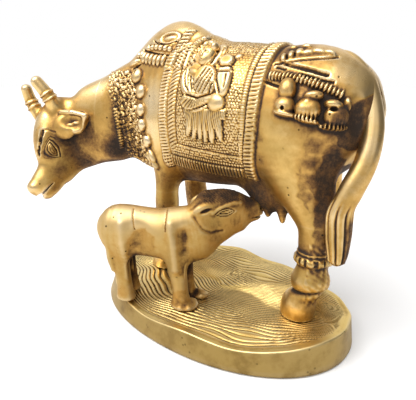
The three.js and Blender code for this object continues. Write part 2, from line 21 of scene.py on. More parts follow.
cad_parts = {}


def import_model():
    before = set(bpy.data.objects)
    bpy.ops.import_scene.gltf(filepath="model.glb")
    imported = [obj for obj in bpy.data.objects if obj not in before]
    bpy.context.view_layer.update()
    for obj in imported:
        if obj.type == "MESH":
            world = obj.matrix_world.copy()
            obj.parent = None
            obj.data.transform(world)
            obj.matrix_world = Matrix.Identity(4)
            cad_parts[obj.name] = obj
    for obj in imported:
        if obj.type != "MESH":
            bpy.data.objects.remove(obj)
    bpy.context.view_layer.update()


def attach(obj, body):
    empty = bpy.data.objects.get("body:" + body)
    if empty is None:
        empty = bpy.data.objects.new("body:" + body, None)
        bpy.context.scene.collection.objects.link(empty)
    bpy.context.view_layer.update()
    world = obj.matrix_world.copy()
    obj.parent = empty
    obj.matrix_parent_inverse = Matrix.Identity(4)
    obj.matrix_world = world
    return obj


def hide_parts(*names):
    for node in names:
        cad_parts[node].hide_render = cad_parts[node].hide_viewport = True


LOG = logging.getLogger("cow_and_calf")
BODY = "root"
MM = 0.001  # One millimetre in metres.
FAR = 50.0  # Where nothing is near, a field or a distance reads this.
SLACK = 2.5  # How far past its own ends a short length of a limb is worked out.

Array = np.ndarray
Station = Sequence[float]
Path = Sequence[Sequence[float]]
Colour = tuple[float, float, float, float]


def vec(*values: float) -> Array:
    """A short vector of floats."""
    return np.array(values, dtype=np.float64)


def unit(direction: Array) -> Array:
    """Directions scaled to length one, along the last axis."""
    return direction / np.maximum(np.linalg.norm(direction, axis=-1, keepdims=True), 1e-12)


UP, AHEAD, SIDE = vec(0, 0, 1), vec(1, 0, 0), vec(0, 1, 0)


def square_to(direction: Array, axis: Array) -> Array:
    """A direction with its share along an axis taken off, scaled to length one."""
    return unit(direction - axis * (direction @ axis))


def lying_axes(out: Array, turn: float) -> Array:
    """Axes on a skin: along the body and up the flank, both turned up by some degrees, and outwards."""
    along = square_to(AHEAD, out)
    rise = np.cross(out, along)
    rise = rise * np.sign(rise[2])
    c, s = np.cos(np.radians(turn)), np.sin(np.radians(turn))
    return np.stack([c * along + s * rise, c * rise - s * along, out])


def step_up(value: "Array | float", at: float, width: float) -> "Array | float":
    """Rises smoothly from 0 to 1 over a width centred on a place: three t squared less two t cubed."""
    t = np.clip((value - at) / width + 0.5, 0.0, 1.0)
    return t * t * (3.0 - 2.0 * t)


def band(value: Array, low: "Array | float", high: float, soft: float = 0.5) -> Array:
    """1 between two places and 0 outside them, with soft edges."""
    return step_up(value, low, soft) * (1.0 - step_up(value, high, soft))


def catmull_rom(points: Array, per_span: int) -> Array:
    """A smooth curve through rows of numbers.

    Each span is the cubic whose slopes at both ends are half the chord between the neighbours.

    Args:
        points: One row per station.
        per_span: Samples in each span.

    Returns:
        The sampled rows, the last station included.
    """
    ends = np.vstack([2 * points[0] - points[1], points, 2 * points[-1] - points[-2]])
    t = np.linspace(0.0, 1.0, per_span, endpoint=False)[None, :, None]
    a, b, c, d = (ends[k : len(ends) - 3 + k][:, None, :] for k in range(4))
    square, cube = 2 * a - 5 * b + 4 * c - d, 3 * b - a - 3 * c + d
    spans = 0.5 * (2 * b + (c - a) * t + square * t**2 + cube * t**3)
    return np.vstack([spans.reshape(-1, points.shape[1]), points[-1:]])


@dataclass(frozen=True)
class Limb:
    """A swept limb: an ellipse that changes size along a smooth path.

    Attributes:
        up: The direction that the section's height points along, as far as the path allows.
        stations: Rows of x, y, z, half width and half height.
        per_span: Samples between two stations.
        blend: How widely the limb flows into what it joins.
        cap: Length of the rounded ends, as a share of the smaller half size.
    """

    up: Array
    stations: Sequence[Station]
    per_span: int = 5
    blend: float = 4.0
    cap: float = 0.9

    def samples(self) -> tuple[Array, Array, Array, Array, Array]:
        """The path's centres, tangents, side and up directions, and half sizes."""
        rows = catmull_rom(np.array(self.stations, dtype=np.float64), self.per_span)
        centre, size = rows[:, :3], np.maximum(rows[:, 3:5], 0.3)
        along = unit(np.gradient(centre, axis=0))
        side = unit(np.cross(along, self.up))
        return centre, along, side, np.cross(side, along), size


@dataclass(frozen=True)
class Lump:
    """An ellipsoid that is added to or cut from a field.

    Attributes:
        centre: Its middle.
        sizes: Half sizes along its three axes.
        axes: Rows of the three axes.
        blend: How widely it flows into what it joins.
        hollow: True where it is cut away.
    """

    centre: Array
    sizes: Sequence[float]
    axes: Array = default_field(default_factory=lambda: np.eye(3))
    blend: float = 1.0
    hollow: bool = False


@dataclass(frozen=True)
class Boss:
    """A lump of an ornament, set on whatever surface is under it.

    Attributes:
        at: A place on or near the surface.
        sizes: Half sizes along the body, up the flank and outwards.
        turn: Degrees that it is turned up from the body's length.
        lift: Height of its middle over the surface.
        blend: How widely it flows into the surface.
        hollow: True where it is cut away.
    """

    at: Sequence[float]
    sizes: Sequence[float]
    turn: float = 0.0
    lift: float = 0.3
    blend: float = 0.6
    hollow: bool = False

    def mirrored(self) -> "Boss":
        """The same lump on the other flank."""
        x, y, z = self.at
        return replace(self, at=(x, 2 * COW_Y - y, z))

    def is_near(self, low: Array, high: Array) -> bool:
        """Whether it can reach into a box."""
        reach = 4
        return bool(np.all(np.array(self.at) > low - reach) and np.all(np.array(self.at) < high + reach))


def ring(limb: Limb, station: float, half: float, grow: float, blend: float = 0.4) -> Lump:
    """A ring round a limb: a flat ellipsoid across it, a little wider than the limb there."""
    tables = limb.samples()
    place, rows = station * limb.per_span, np.arange(len(tables[0]))
    centre, along, side, top, size = (
        np.array([np.interp(place, rows, column) for column in table.T]) for table in tables
    )
    return Lump(centre, (half, *(size + grow)), unit(np.stack([along, side, top])), blend)


def lumps_at(middle: Array, axes: Array, rows: Sequence[tuple], half: "Array | float" = 1.0) -> list[Lump]:
    """Lumps from a table.

    Args:
        middle: The point that their places are measured from.
        axes: The three directions of their places and sizes.
        rows: For each its place, its half sizes, its blend and whether it is hollow.
        half: What one stands for along each axis.

    Returns:
        The lumps, in the table's order.
    """
    return [
        Lump(middle + (vec(*at) * half) @ axes, vec(*sizes) * half, axes, blend, hollow)
        for at, sizes, blend, hollow in rows
    ]


class Field:
    """A block of space with a number at each grid point, below zero inside the metal."""

    def __init__(self, low: Sequence[float], high: Sequence[float], pitch: float) -> None:
        """Makes an empty block.

        Args:
            low: Lowest corner.
            high: Highest corner.
            pitch: Distance between grid points.
        """
        self.low = np.array(low, dtype=np.float64)
        self.pitch = pitch
        self.shape = np.ceil((np.array(high) - self.low) / pitch).astype(int) + 1
        self.values = np.full(self.shape, FAR, dtype=np.float32)

    def block(self, low: Array, high: Array) -> tuple[tuple[slice, ...], list[Array]] | None:
        """The part of the grid inside a box: its slices and its open coordinate arrays."""
        first = np.maximum(np.floor((low - self.low) / self.pitch).astype(int), 0)
        last = np.minimum(np.ceil((high - self.low) / self.pitch).astype(int) + 1, self.shape)
        if np.any(first >= last):
            return None
        part = tuple(slice(a, b) for a, b in zip(first, last))
        axes = [self.low[k] + self.pitch * np.arange(first[k], last[k]) for k in range(3)]
        shapes = ((-1, 1, 1), (1, -1, 1), (1, 1, -1))
        return part, [axis.reshape(shape).astype(np.float32) for axis, shape in zip(axes, shapes)]

    def join(self, part: tuple[slice, ...], other: Array, blend: float) -> None:
        """Blends a shape into the field: the smaller number, less a smooth fillet where both are near."""
        mine = self.values[part]
        h = np.clip(0.5 + 0.5 * (mine - other) / blend, 0.0, 1.0)
        self.values[part] = mine + (other - mine) * h - blend * h * (1.0 - h)

    def add_limb(self, limb: Limb) -> None:
        """Adds a limb: over each short length, the scaled distance from its elliptical section."""
        centre, along, side, top, size = limb.samples()
        reach = size.max() + limb.blend + 2 * self.pitch
        found = self.block(centre.min(0) - reach, centre.max(0) + reach)
        if found is None:
            return
        part, _ = found
        mine = np.full(self.values[part].shape, FAR, dtype=np.float32)
        origin = [run.start for run in part]
        last = len(centre) - 2
        for i in range(last + 1):
            p, q = centre[i], centre[i + 1]
            length = float(np.linalg.norm(q - p))
            t, s, u = unit(q - p), unit(side[i] + side[i + 1]), unit(top[i] + top[i + 1])
            big = size[i : i + 2].max() + limb.blend + self.pitch
            ends = np.stack([p, q])
            spread = big * np.sqrt(np.clip(1.0 - t**2, 0.0, 1.0)) + SLACK
            cap_low = limb.cap * size[i].min() + limb.blend if i == 0 else SLACK
            cap_high = limb.cap * size[i + 1].min() + limb.blend if i == last else SLACK
            ends = np.vstack([ends, p - t * cap_low, q + t * cap_high])
            near = self.block(ends.min(0) - spread, ends.max(0) + spread)
            if near is None:
                continue
            where, (x, y, z) = near
            dx, dy, dz = x - p[0], y - p[1], z - p[2]
            c = dx * t[0] + dy * t[1] + dz * t[2]
            w = np.clip(c / length, 0.0, 1.0)
            c = c - w * length
            a = dx * s[0] + dy * s[1] + dz * s[2]
            b = dx * u[0] + dy * u[1] + dz * u[2]
            wide = size[i, 0] + (size[i + 1, 0] - size[i, 0]) * w
            tall = size[i, 1] + (size[i + 1, 1] - size[i, 1]) * w
            small = np.minimum(wide, tall)
            value = (np.sqrt((a / wide) ** 2 + (b / tall) ** 2 + (c / (limb.cap * small)) ** 2) - 1.0) * small
            local = [slice(run.start - first, run.stop - first) for run, first in zip(where, origin)]
            clipped = tuple(slice(max(run.start, 0), min(run.stop, n)) for run, n in zip(local, mine.shape))
            inner = tuple(slice(m.start - n.start, m.stop - n.start) for m, n in zip(clipped, local))
            mine[clipped] = np.minimum(mine[clipped], value[inner])
        self.join(part, mine, limb.blend)

    def add(self, shapes: "Sequence[Limb | Lump]") -> None:
        """Adds limbs and lumps in their order."""
        for shape in shapes:
            if isinstance(shape, Limb):
                self.add_limb(shape)
            else:
                self.add_lump(shape)

    def seat(self, boss: Boss) -> Lump:
        """An ornament's lump, moved to the field's surface and turned to lie on it."""
        point = np.array(boss.at, dtype=np.float64)[None]
        for _ in range(12):
            point = self.nearer(point, 0.1, 1.0)
        axes = lying_axes(unit(self.slope(point)[0]), boss.turn)
        return Lump(point[0] + boss.lift * axes[2], boss.sizes, axes, boss.blend, boss.hollow)

    def nearer(self, points: Array, flattest: float, longest: float) -> Array:
        """Points moved one step along the slope towards the zero surface: the value over the squared slope.

        Args:
            points: The points.
            flattest: The least squared slope that is divided by.
            longest: The longest step.

        Returns:
            The moved points.
        """
        slope = self.slope(points)
        step = self.at(points) / np.maximum((slope**2).sum(axis=1), flattest)
        return points - slope * np.clip(step, -longest, longest)[:, None]

    def add_lump(self, lump: Lump) -> None:
        """Adds an ellipsoid, or cuts one away: its scaled distance joins the field or bounds it."""
        sizes = np.array(lump.sizes, dtype=np.float64)
        reach = np.abs(lump.axes.T) @ sizes + lump.blend + 2 * self.pitch
        found = self.block(lump.centre - reach, lump.centre + reach)
        if found is None:
            return
        part, (x, y, z) = found
        total = 0.0
        for axis, size in zip(lump.axes, sizes):
            dx, dy, dz = (value - middle for value, middle in zip((x, y, z), lump.centre))
            total = total + ((dx * axis[0] + dy * axis[1] + dz * axis[2]) / size) ** 2
        value = (np.sqrt(total) - 1.0) * sizes.min()
        if not lump.hollow:
            self.join(part, value, lump.blend)
            return
        mine = -self.values[part]
        h = np.clip(0.5 + 0.5 * (mine - value) / lump.blend, 0.0, 1.0)
        self.values[part] = -(mine + (value - mine) * h - lump.blend * h * (1.0 - h))

    def soften(self, rounds: int = 2) -> None:
        """Evens out the creases between a limb's short lengths: the mean of each point and its neighbours."""
        for _ in range(rounds):
            for axis in range(3):
                rows = np.moveaxis(self.values, axis, 0)
                rows[1:-1] = 0.5 * rows[1:-1] + 0.25 * (rows[2:] + rows[:-2])

    def at(self, points: Array) -> Array:
        """The field between grid points: the mean of the eight corners, weighted by nearness."""
        place = np.clip((points - self.low) / self.pitch, 0.0, self.shape - 1.001)
        cell = place.astype(np.int64)
        part = place - cell
        flat = self.values.reshape(-1)
        strides = np.array([self.shape[1] * self.shape[2], self.shape[2], 1])
        base = cell @ strides
        total = np.zeros(len(points))
        for corner in np.ndindex(2, 2, 2):
            weight = np.prod(np.where(np.array(corner) == 1, part, 1.0 - part), axis=1)
            total += weight * flat[base + int(np.array(corner) @ strides)]
        return total

    def slope(self, points: Array) -> Array:
        """The field's slope at points, by central differences."""
        half = 0.6 * self.pitch
        steps = np.eye(3) * half
        return np.stack([self.at(points + s) - self.at(points - s) for s in steps], axis=1) / (2 * half)

    def keep(self, normal: Array, offset: float) -> "Field":
        """A copy of the field cut by a plane: what lies past it along the normal is outside the metal."""
        _, (x, y, z) = self.block(self.low, self.low + self.pitch * self.shape)
        rest = copy(self)
        rest.values = np.maximum(self.values, x * normal[0] + y * normal[1] + z * normal[2] - offset)
        return rest

    def surface(self) -> tuple[Array, Array]:
        """The zero surface as a mesh of quads.

        A vertex stands in each cell that the surface crosses, at the mean of the crossings on the
        cell's edges, and each crossed grid edge gives a quad between its four cells.

        Returns:
            Vertices, and quads that face outwards.
        """
        v = self.values
        inside = v < 0
        count = np.zeros(np.array(v.shape) - 1, dtype=np.int8)
        for corner in np.ndindex(2, 2, 2):
            count += inside[tuple(slice(c, n - 1 + c) for c, n in zip(corner, v.shape))]
        mixed = (count > 0) & (count < 8)
        cells = np.argwhere(mixed)
        index = np.full(mixed.shape, -1, dtype=np.int64)
        index[mixed] = np.arange(len(cells))
        total = np.zeros((len(cells), 3))
        crossings = np.zeros(len(cells))
        for axis in range(3):
            for corner in np.ndindex(2, 2):
                start, end = (np.insert(corner, axis, far) for far in (0, 1))
                a, b = v[tuple((cells + start).T)], v[tuple((cells + end).T)]
                crossed = (a < 0) != (b < 0)
                share = np.where(crossed, a / np.where(crossed, a - b, 1.0), 0.0)
                place = start + share[:, None] * (end - start)
                total += np.where(crossed[:, None], place, 0.0)
                crossings += crossed
        points = self.low + self.pitch * (cells + total / crossings[:, None])
        quads = []
        for axis in range(3):
            one, two = ((1, 2), (2, 0), (0, 1))[axis]
            rows = np.moveaxis(inside, axis, 0)
            start, end = np.moveaxis(rows[:-1], 0, axis), np.moveaxis(rows[1:], 0, axis)
            edges = np.argwhere(start != end)
            edges = edges[(edges[:, one] > 0) & (edges[:, two] > 0)]
            edges = edges[(edges[:, one] < self.shape[one] - 1) & (edges[:, two] < self.shape[two] - 1)]
            leaving = start[tuple(edges.T)]
            steps = np.eye(3, dtype=int)
            backs = (steps[one] + steps[two], steps[two], 0 * steps[0], steps[one])
            corners = np.stack([index[tuple((edges - back).T)] for back in backs], axis=1)
            quads.append(np.where(leaving[:, None], corners, corners[:, ::-1]))
        return points, np.vstack(quads)


class Skin:
    """A mesh of quads that lies on a field and carries numbers at its vertices."""

    def __init__(self, points: Array, quads: Array) -> None:
        """Keeps the mesh and finds which vertices are neighbours."""
        self.points = points
        self.quads = quads
        self.marks: dict[str, Array] = {}
        ends = np.concatenate([quads[:, [k, (k + 1) % 4]] for k in range(4)])
        self.edges = np.unique(np.sort(ends, axis=1), axis=0)
        self.degree = np.bincount(self.edges.ravel(), minlength=len(points)).astype(float)

    @classmethod
    def on(cls, field: Field) -> "Skin":
        """The settled skin of a field's zero surface."""
        skin = cls(*field.surface())
        skin.settle(field)
        return skin

    def mean_of_neighbours(self, values: Array) -> Array:
        """At each vertex, the mean of a value over the vertices it shares an edge with."""
        flat = values.reshape(len(values), -1)
        a, b = self.edges.T
        size = len(values)
        sums = [np.bincount(a, column[b], size) + np.bincount(b, column[a], size) for column in flat.T]
        return (np.stack(sums, axis=1) / self.degree[:, None]).reshape(values.shape)

    def blurred(self, values: Array, rounds: int) -> Array:
        """A value spread over the surface by repeated means."""
        for _ in range(rounds):
            values = 0.5 * values + 0.5 * self.mean_of_neighbours(values)
        return values

    def settle(self, field: Field, rounds: int = 3) -> None:
        """Evens out the vertices and moves them onto the field's zero surface along its slope."""
        for _ in range(rounds):
            points = 0.4 * self.points + 0.6 * self.mean_of_neighbours(self.points)
            for _ in range(2):
                points = field.nearer(points, 0.05, field.pitch)
            self.points = points

    def normals(self) -> Array:
        """Vertex normals: the mean of the cross products of each quad's diagonals."""
        corners = self.points[self.quads]
        cross = np.cross(corners[:, 2] - corners[:, 0], corners[:, 3] - corners[:, 1])
        size = len(self.points)
        sums = [sum(np.bincount(self.quads[:, k], column, size) for k in range(4)) for column in cross.T]
        return unit(np.stack(sums, axis=1))

    def hollows(self, rounds: Sequence[int] = (2, 6, 16)) -> Array:
        """How far each vertex lies below the mean of its surroundings, in millimetres, at several widths."""
        normal = self.normals()
        total = np.zeros(len(self.points))
        points = self.points
        done = 0
        for count in rounds:
            points = self.blurred(points, count - done)
            done = count
            total += ((points - self.points) * normal).sum(axis=1)
        return total / len(rounds)

    def to_object(self, name: str, finish: bpy.types.Material) -> bpy.types.Object:
        """The skin as a Blender object in metres, with its marks as point attributes."""
        mesh = bpy.data.meshes.new(name)
        count, faces = len(self.points), len(self.quads)
        mesh.vertices.add(count)
        mesh.vertices.foreach_set("co", (self.points * MM).astype(np.float32).ravel())
        mesh.loops.add(4 * faces)
        mesh.loops.foreach_set("vertex_index", self.quads.astype(np.int32).ravel())
        mesh.polygons.add(faces)
        mesh.polygons.foreach_set("loop_start", np.arange(0, 4 * faces, 4, dtype=np.int32))
        mesh.polygons.foreach_set("use_smooth", np.ones(faces, dtype=bool))
        mesh.update(calc_edges=True)
        mesh.validate()
        for mark, values in self.marks.items():
            layer = mesh.attributes.new(mark, "FLOAT", "POINT")
            layer.data.foreach_set("value", np.clip(values, 0.0, 1.0).astype(np.float32))
        mesh.materials.append(finish)
        LOG.info("%s: %d vertices, %d triangles", name, count, 2 * faces)
        return linked(name, mesh)


def linked(name: str, data: bpy.types.ID) -> bpy.types.Object:
    """A new object of the scene that holds a mesh, a lamp or a camera."""
    obj = bpy.data.objects.new(name, data)
    bpy.context.scene.collection.objects.link(obj)
    return obj


# Carving, as functions of a surface's two coordinates.


def ribs(along: Array, pitch: float, sharp: float = 1.0) -> Array:
    """Rounded ribs across a band: a raised cosine, narrowed by a power."""
    return (0.5 + 0.5 * np.cos(2 * np.pi * along / pitch)) ** sharp


def oval(u: Array, v: Array, at: Sequence[float], sizes: Sequence[float], turn: float = 0.0) -> Array:
    """An oval dome of height 1: the square root of one less the squared scaled distance.

    Args:
        u: First coordinate of the surface.
        v: Second coordinate of the surface.
        at: The dome's middle.
        sizes: Its half sizes.
        turn: Degrees that it is turned.

    Returns:
        Its height at each point.
    """
    c, s = np.cos(np.radians(turn)), np.sin(np.radians(turn))
    du, dv = u - at[0], v - at[1]
    a = (du * c + dv * s) / sizes[0]
    b = (dv * c - du * s) / sizes[1]
    return np.sqrt(np.clip(1.0 - a**2 - b**2, 0.0, 1.0))


def distance_to(u: Array, v: Array, path: Path) -> Array:
    """The distance from a line of points, on a surface's two coordinates."""
    nearest = np.full(u.shape, FAR)
    for (a0, b0), (a1, b1) in zip(path[:-1], path[1:]):
        da, db = a1 - a0, b1 - b0
        t = np.clip(((u - a0) * da + (v - b0) * db) / (da**2 + db**2), 0.0, 1.0)
        nearest = np.minimum(nearest, np.hypot(u - a0 - t * da, v - b0 - t * db))
    return nearest


def cord(u: Array, v: Array, path: Path, width: float) -> Array:
    """A round cord of height 1 along a line of points: a half circle over the distance from it.

    Args:
        u: First coordinate of the surface.
        v: Second coordinate of the surface.
        path: The points it runs through.
        width: Its half width.

    Returns:
        Its height at each point.
    """
    return np.sqrt(np.clip(1.0 - (distance_to(u, v, path) / width) ** 2, 0.0, 1.0))


def swell(u: Array, v: Array, path: Path, width: float) -> Array:
    """A soft ridge of height 1 along a line of points: it fades with the squared distance from it."""
    return np.exp(-((distance_to(u, v, path) / width) ** 2))


def grains(u: Array, v: Array, pitch: float, size: float) -> Array:
    """Close rows of small round beads: domes on a lattice whose odd rows are moved by half a pitch.

    Args:
        u: First coordinate of the surface.
        v: Second coordinate of the surface.
        pitch: Distance between beads.
        size: Half size of one.

    Returns:
        Their height at each point, at most 1.
    """
    row_pitch = 0.87 * pitch
    row = np.round(v / row_pitch)
    shift = 0.5 * pitch * (row % 2)
    column = np.round((u - shift) / pitch)
    stray = np.sin(row * 12.9898 + column * 78.233) * 43758.5453
    stray = (stray - np.floor(stray)) - 0.5
    du = u - shift - column * pitch - 0.25 * pitch * stray
    dv = v - row * row_pitch - 0.2 * pitch * np.sin(37.0 * stray)
    return np.sqrt(np.clip(1.0 - (du**2 + dv**2) / size**2, 0.0, 1.0))


def waves(points: Array, length: float, seed: int) -> Array:
    """Smooth irregular values from -1 to 1: a few sine waves of mixed directions, added up."""
    random = np.random.default_rng(seed)
    total = np.zeros(len(points))
    for _ in range(7):
        direction = unit(random.normal(size=3)) * 2 * np.pi / (length * random.uniform(0.7, 1.5))
        total += np.sin(points @ direction + random.uniform(0, 2 * np.pi))
    return np.clip(total / 3.2, -1.0, 1.0)


# The cow's limbs. The head's own directions are down the face, to the cow's left and out of the brow.

COW_Y = 11.5
FACE = unit(vec(0.02, -0.46, -0.89))
LEFT = square_to(vec(0.9, -0.37, 0.21), FACE)
BROW = np.cross(FACE, LEFT)
HEAD_AXES = np.stack([LEFT, BROW, FACE])
SKULL = vec(-103, -13, 94)
SOLE = 11.75


def on_head(left: float, brow: float, face: float) -> Array:
    """A place on the head, from the skull's centre: to the left, out of the brow and down the face."""
    return SKULL + vec(left, brow, face) @ HEAD_AXES


def head_limb(sections: Sequence[Station], **settings: float) -> Limb:
    """A limb through places on the head, each with a half width and a half depth."""
    return Limb(BROW, [(*on_head(*row[:3]), row[3], row[4]) for row in sections], **settings)


TRUNK = Limb(UP, [
    (-57, COW_Y, 90, 9, 12), (-52, COW_Y, 91, 15, 23), (-42, COW_Y, 92.5, 19, 29.5),
    (-22, COW_Y, 95, 21.5, 34), (2, COW_Y, 96, 23, 33), (24, COW_Y, 97, 23, 30),
    (42, COW_Y, 100, 21.5, 27.5), (54, COW_Y, 101.5, 16, 19.5), (60, COW_Y, 102, 9, 10),
], blend=5)
HUMP = Limb(UP, [
    (-54, COW_Y - 1, 117.5, 5.5, 8.5), (-44, COW_Y, 123.5, 9, 13), (-33, COW_Y, 126.5, 9.8, 14.2),
    (-23, COW_Y, 124.5, 8.8, 12), (-12, COW_Y, 121, 6, 7),
], blend=7)
NECK = Limb(UP, [
    (-34, COW_Y, 97, 15, 30.5), (-54, 9, 96, 14, 29), (-72, 0, 92.5, 11.5, 23), (-88, -8, 89.2, 9, 19.2),
    (-99, -13, 90, 8.4, 12),
], per_span=12, blend=8)
THROAT = Limb(UP, [
    (-99.5, -22.5, 65, 4.6, 9), (-97, -18, 68, 5.2, 9.4), (-93.5, -12, 72.5, 6.4, 10.4),
    (-86, -7, 78.5, 7.5, 11.4), (-76, -2, 82, 8, 12),
], blend=7)


def front_leg(y: float, lean: float) -> Limb:
    """A front leg at a given distance across, leaning in towards the chest."""
    return Limb(AHEAD, [
        (-36, y + 3 * lean, 92, 9, 12), (-35 + lean, y + lean, 74, 7.6, 9), (-35.6 + lean, y, 60, 6, 6.3),
        (-35, y, 48, 6.3, 6.5), (-35, y, 36, 5, 5.2), (-35, y, 24, 5.5, 6), (-36, y, 17, 6, 6.5),
        (-38, y, 10, 7.2, 8.2), (-38.4, y, 5, 7.4, 8.4),
    ], blend=5)


def hind_leg(x: float, y: float, lean: float) -> Limb:
    """A hind leg from the haunch to the hoof, with its hock behind."""
    return Limb(AHEAD, [
        (x - 7, y + 5 * lean, 112, 10, 15), (x - 6, y + lean, 96, 13, 19), (x - 5, y, 82, 11, 17.5),
        (x - 0.6, y, 70, 8.5, 12.5), (x + 4.4, y, 58, 6.5, 8.4), (x + 4.4, y, 48, 5.5, 6.5),
        (x + 4.6, y, 38, 5.9, 6.4), (x + 4.4, y, 31, 7.0, 7.6), (x + 2.0, y, 23.5, 5.7, 6.2),
        (x - 0.2, y, 17, 7.2, 7.9), (x - 0.8, y, 9, 6.6, 7.4),
    ], blend=5)


LEGS = [front_leg(-1, 1), front_leg(24, -1), hind_leg(45, -1, 1), hind_leg(38.5, 24, -1)]
UDDER = Limb(UP, [
    (13, COW_Y - 1, 69, 8, 6),
    (24, COW_Y - 2, 64.5, 11.5, 9.5),
    (38, COW_Y - 1, 66, 9, 8),
], blend=5)
TEATS = [
    Limb(AHEAD, [(x, y, 64, 3, 3), (x, y, 58, 2.4, 2.4), (x + 0.5, y, low, 1.5, 1.5)], blend=2)
    for x, y, low in ((24, 4, 53.5), (32, 3, 52.5), (25, 16, 54), (33, 16, 53))
]
SKULL_LIMB = head_limb([
    (0, 1.4, -2, 8.5, 9.8), (0, 2, 6, 10.4, 12), (0, 1.8, 14, 10.6, 12.2), (0, -0.2, 22, 9.8, 11.6),
    (0, -3.2, 30, 7.8, 10), (0, -2.8, 37, 6.8, 9), (0, -0.6, 44, 6.6, 8), (0, 0, 48.6, 5.6, 6.8),
], blend=5, cap=0.62)
HORNS = [
    head_limb([(*at, half, half) for *at, half in horn], blend=2.5)
    for horn in (
        ((6.5, 4, 3.5, 4.7), (7.2, 8, 0, 4.2), (8.3, 13.6, -4.4, 3.6), (7, 20.2, -9, 3.2)),
        ((-6, 6, 9, 4.5), (-6.8, 12, 6, 3.9), (-8.5, 18.6, 0, 3.4), (-7.5, 23.4, -6, 3)),
    )
]

# Angle and arc length round the trunk's mean section, from the spine down.
ROUND = np.radians(np.linspace(0.0, 180.0, 361))
STEPS = np.hypot(22.5 * np.cos(ROUND[1:]), 33.0 * np.sin(ROUND[1:])) * np.diff(ROUND)
ARC = np.concatenate([[0.0], np.cumsum(STEPS)])


def trunk_section(x: "Array | float") -> tuple:
    """The trunk's middle height, half width and half height at a length along it."""
    rows = catmull_rom(np.array(TRUNK.stations, dtype=np.float64), 12)
    return tuple(np.interp(x, rows[:, 0], rows[:, k]) for k in (2, 3, 4))


def flank_coordinates(points: Array) -> tuple[Array, Array, Array]:
    """Where points lie on the trunk: along it, down from the spine, and how far outside it.

    Args:
        points: Places in space.

    Returns:
        x, arc length down the mean section, and distance from the trunk's skin.
    """
    x = points[:, 0]
    z0, wide, tall = trunk_section(x)
    a, b = np.abs(points[:, 1] - COW_Y) / wide, (points[:, 2] - z0) / tall
    return x, np.interp(np.arctan2(a, b), ROUND, ARC), (np.hypot(a, b) - 1.0) * np.minimum(wide, tall)


def on_flank(u: float, v: float, lift: float, turn: float) -> tuple[Array, Array]:
    """A place on the left flank's mean section and its directions.

    Args:
        u: Length along the back.
        v: Arc length down from the spine.
        lift: How far outside the skin.
        turn: Degrees that the directions are turned on the skin.

    Returns:
        The place, and the rows along the back, up the flank and outwards.
    """
    z0, wide, tall = trunk_section(u)
    angle = float(np.interp(v, ARC, ROUND))
    out = unit(vec(0, -np.sin(angle) / wide, np.cos(angle) / tall))
    point = vec(u, COW_Y - wide * np.sin(angle), z0 + tall * np.cos(angle)) + lift * out
    return point, lying_axes(out, turn)


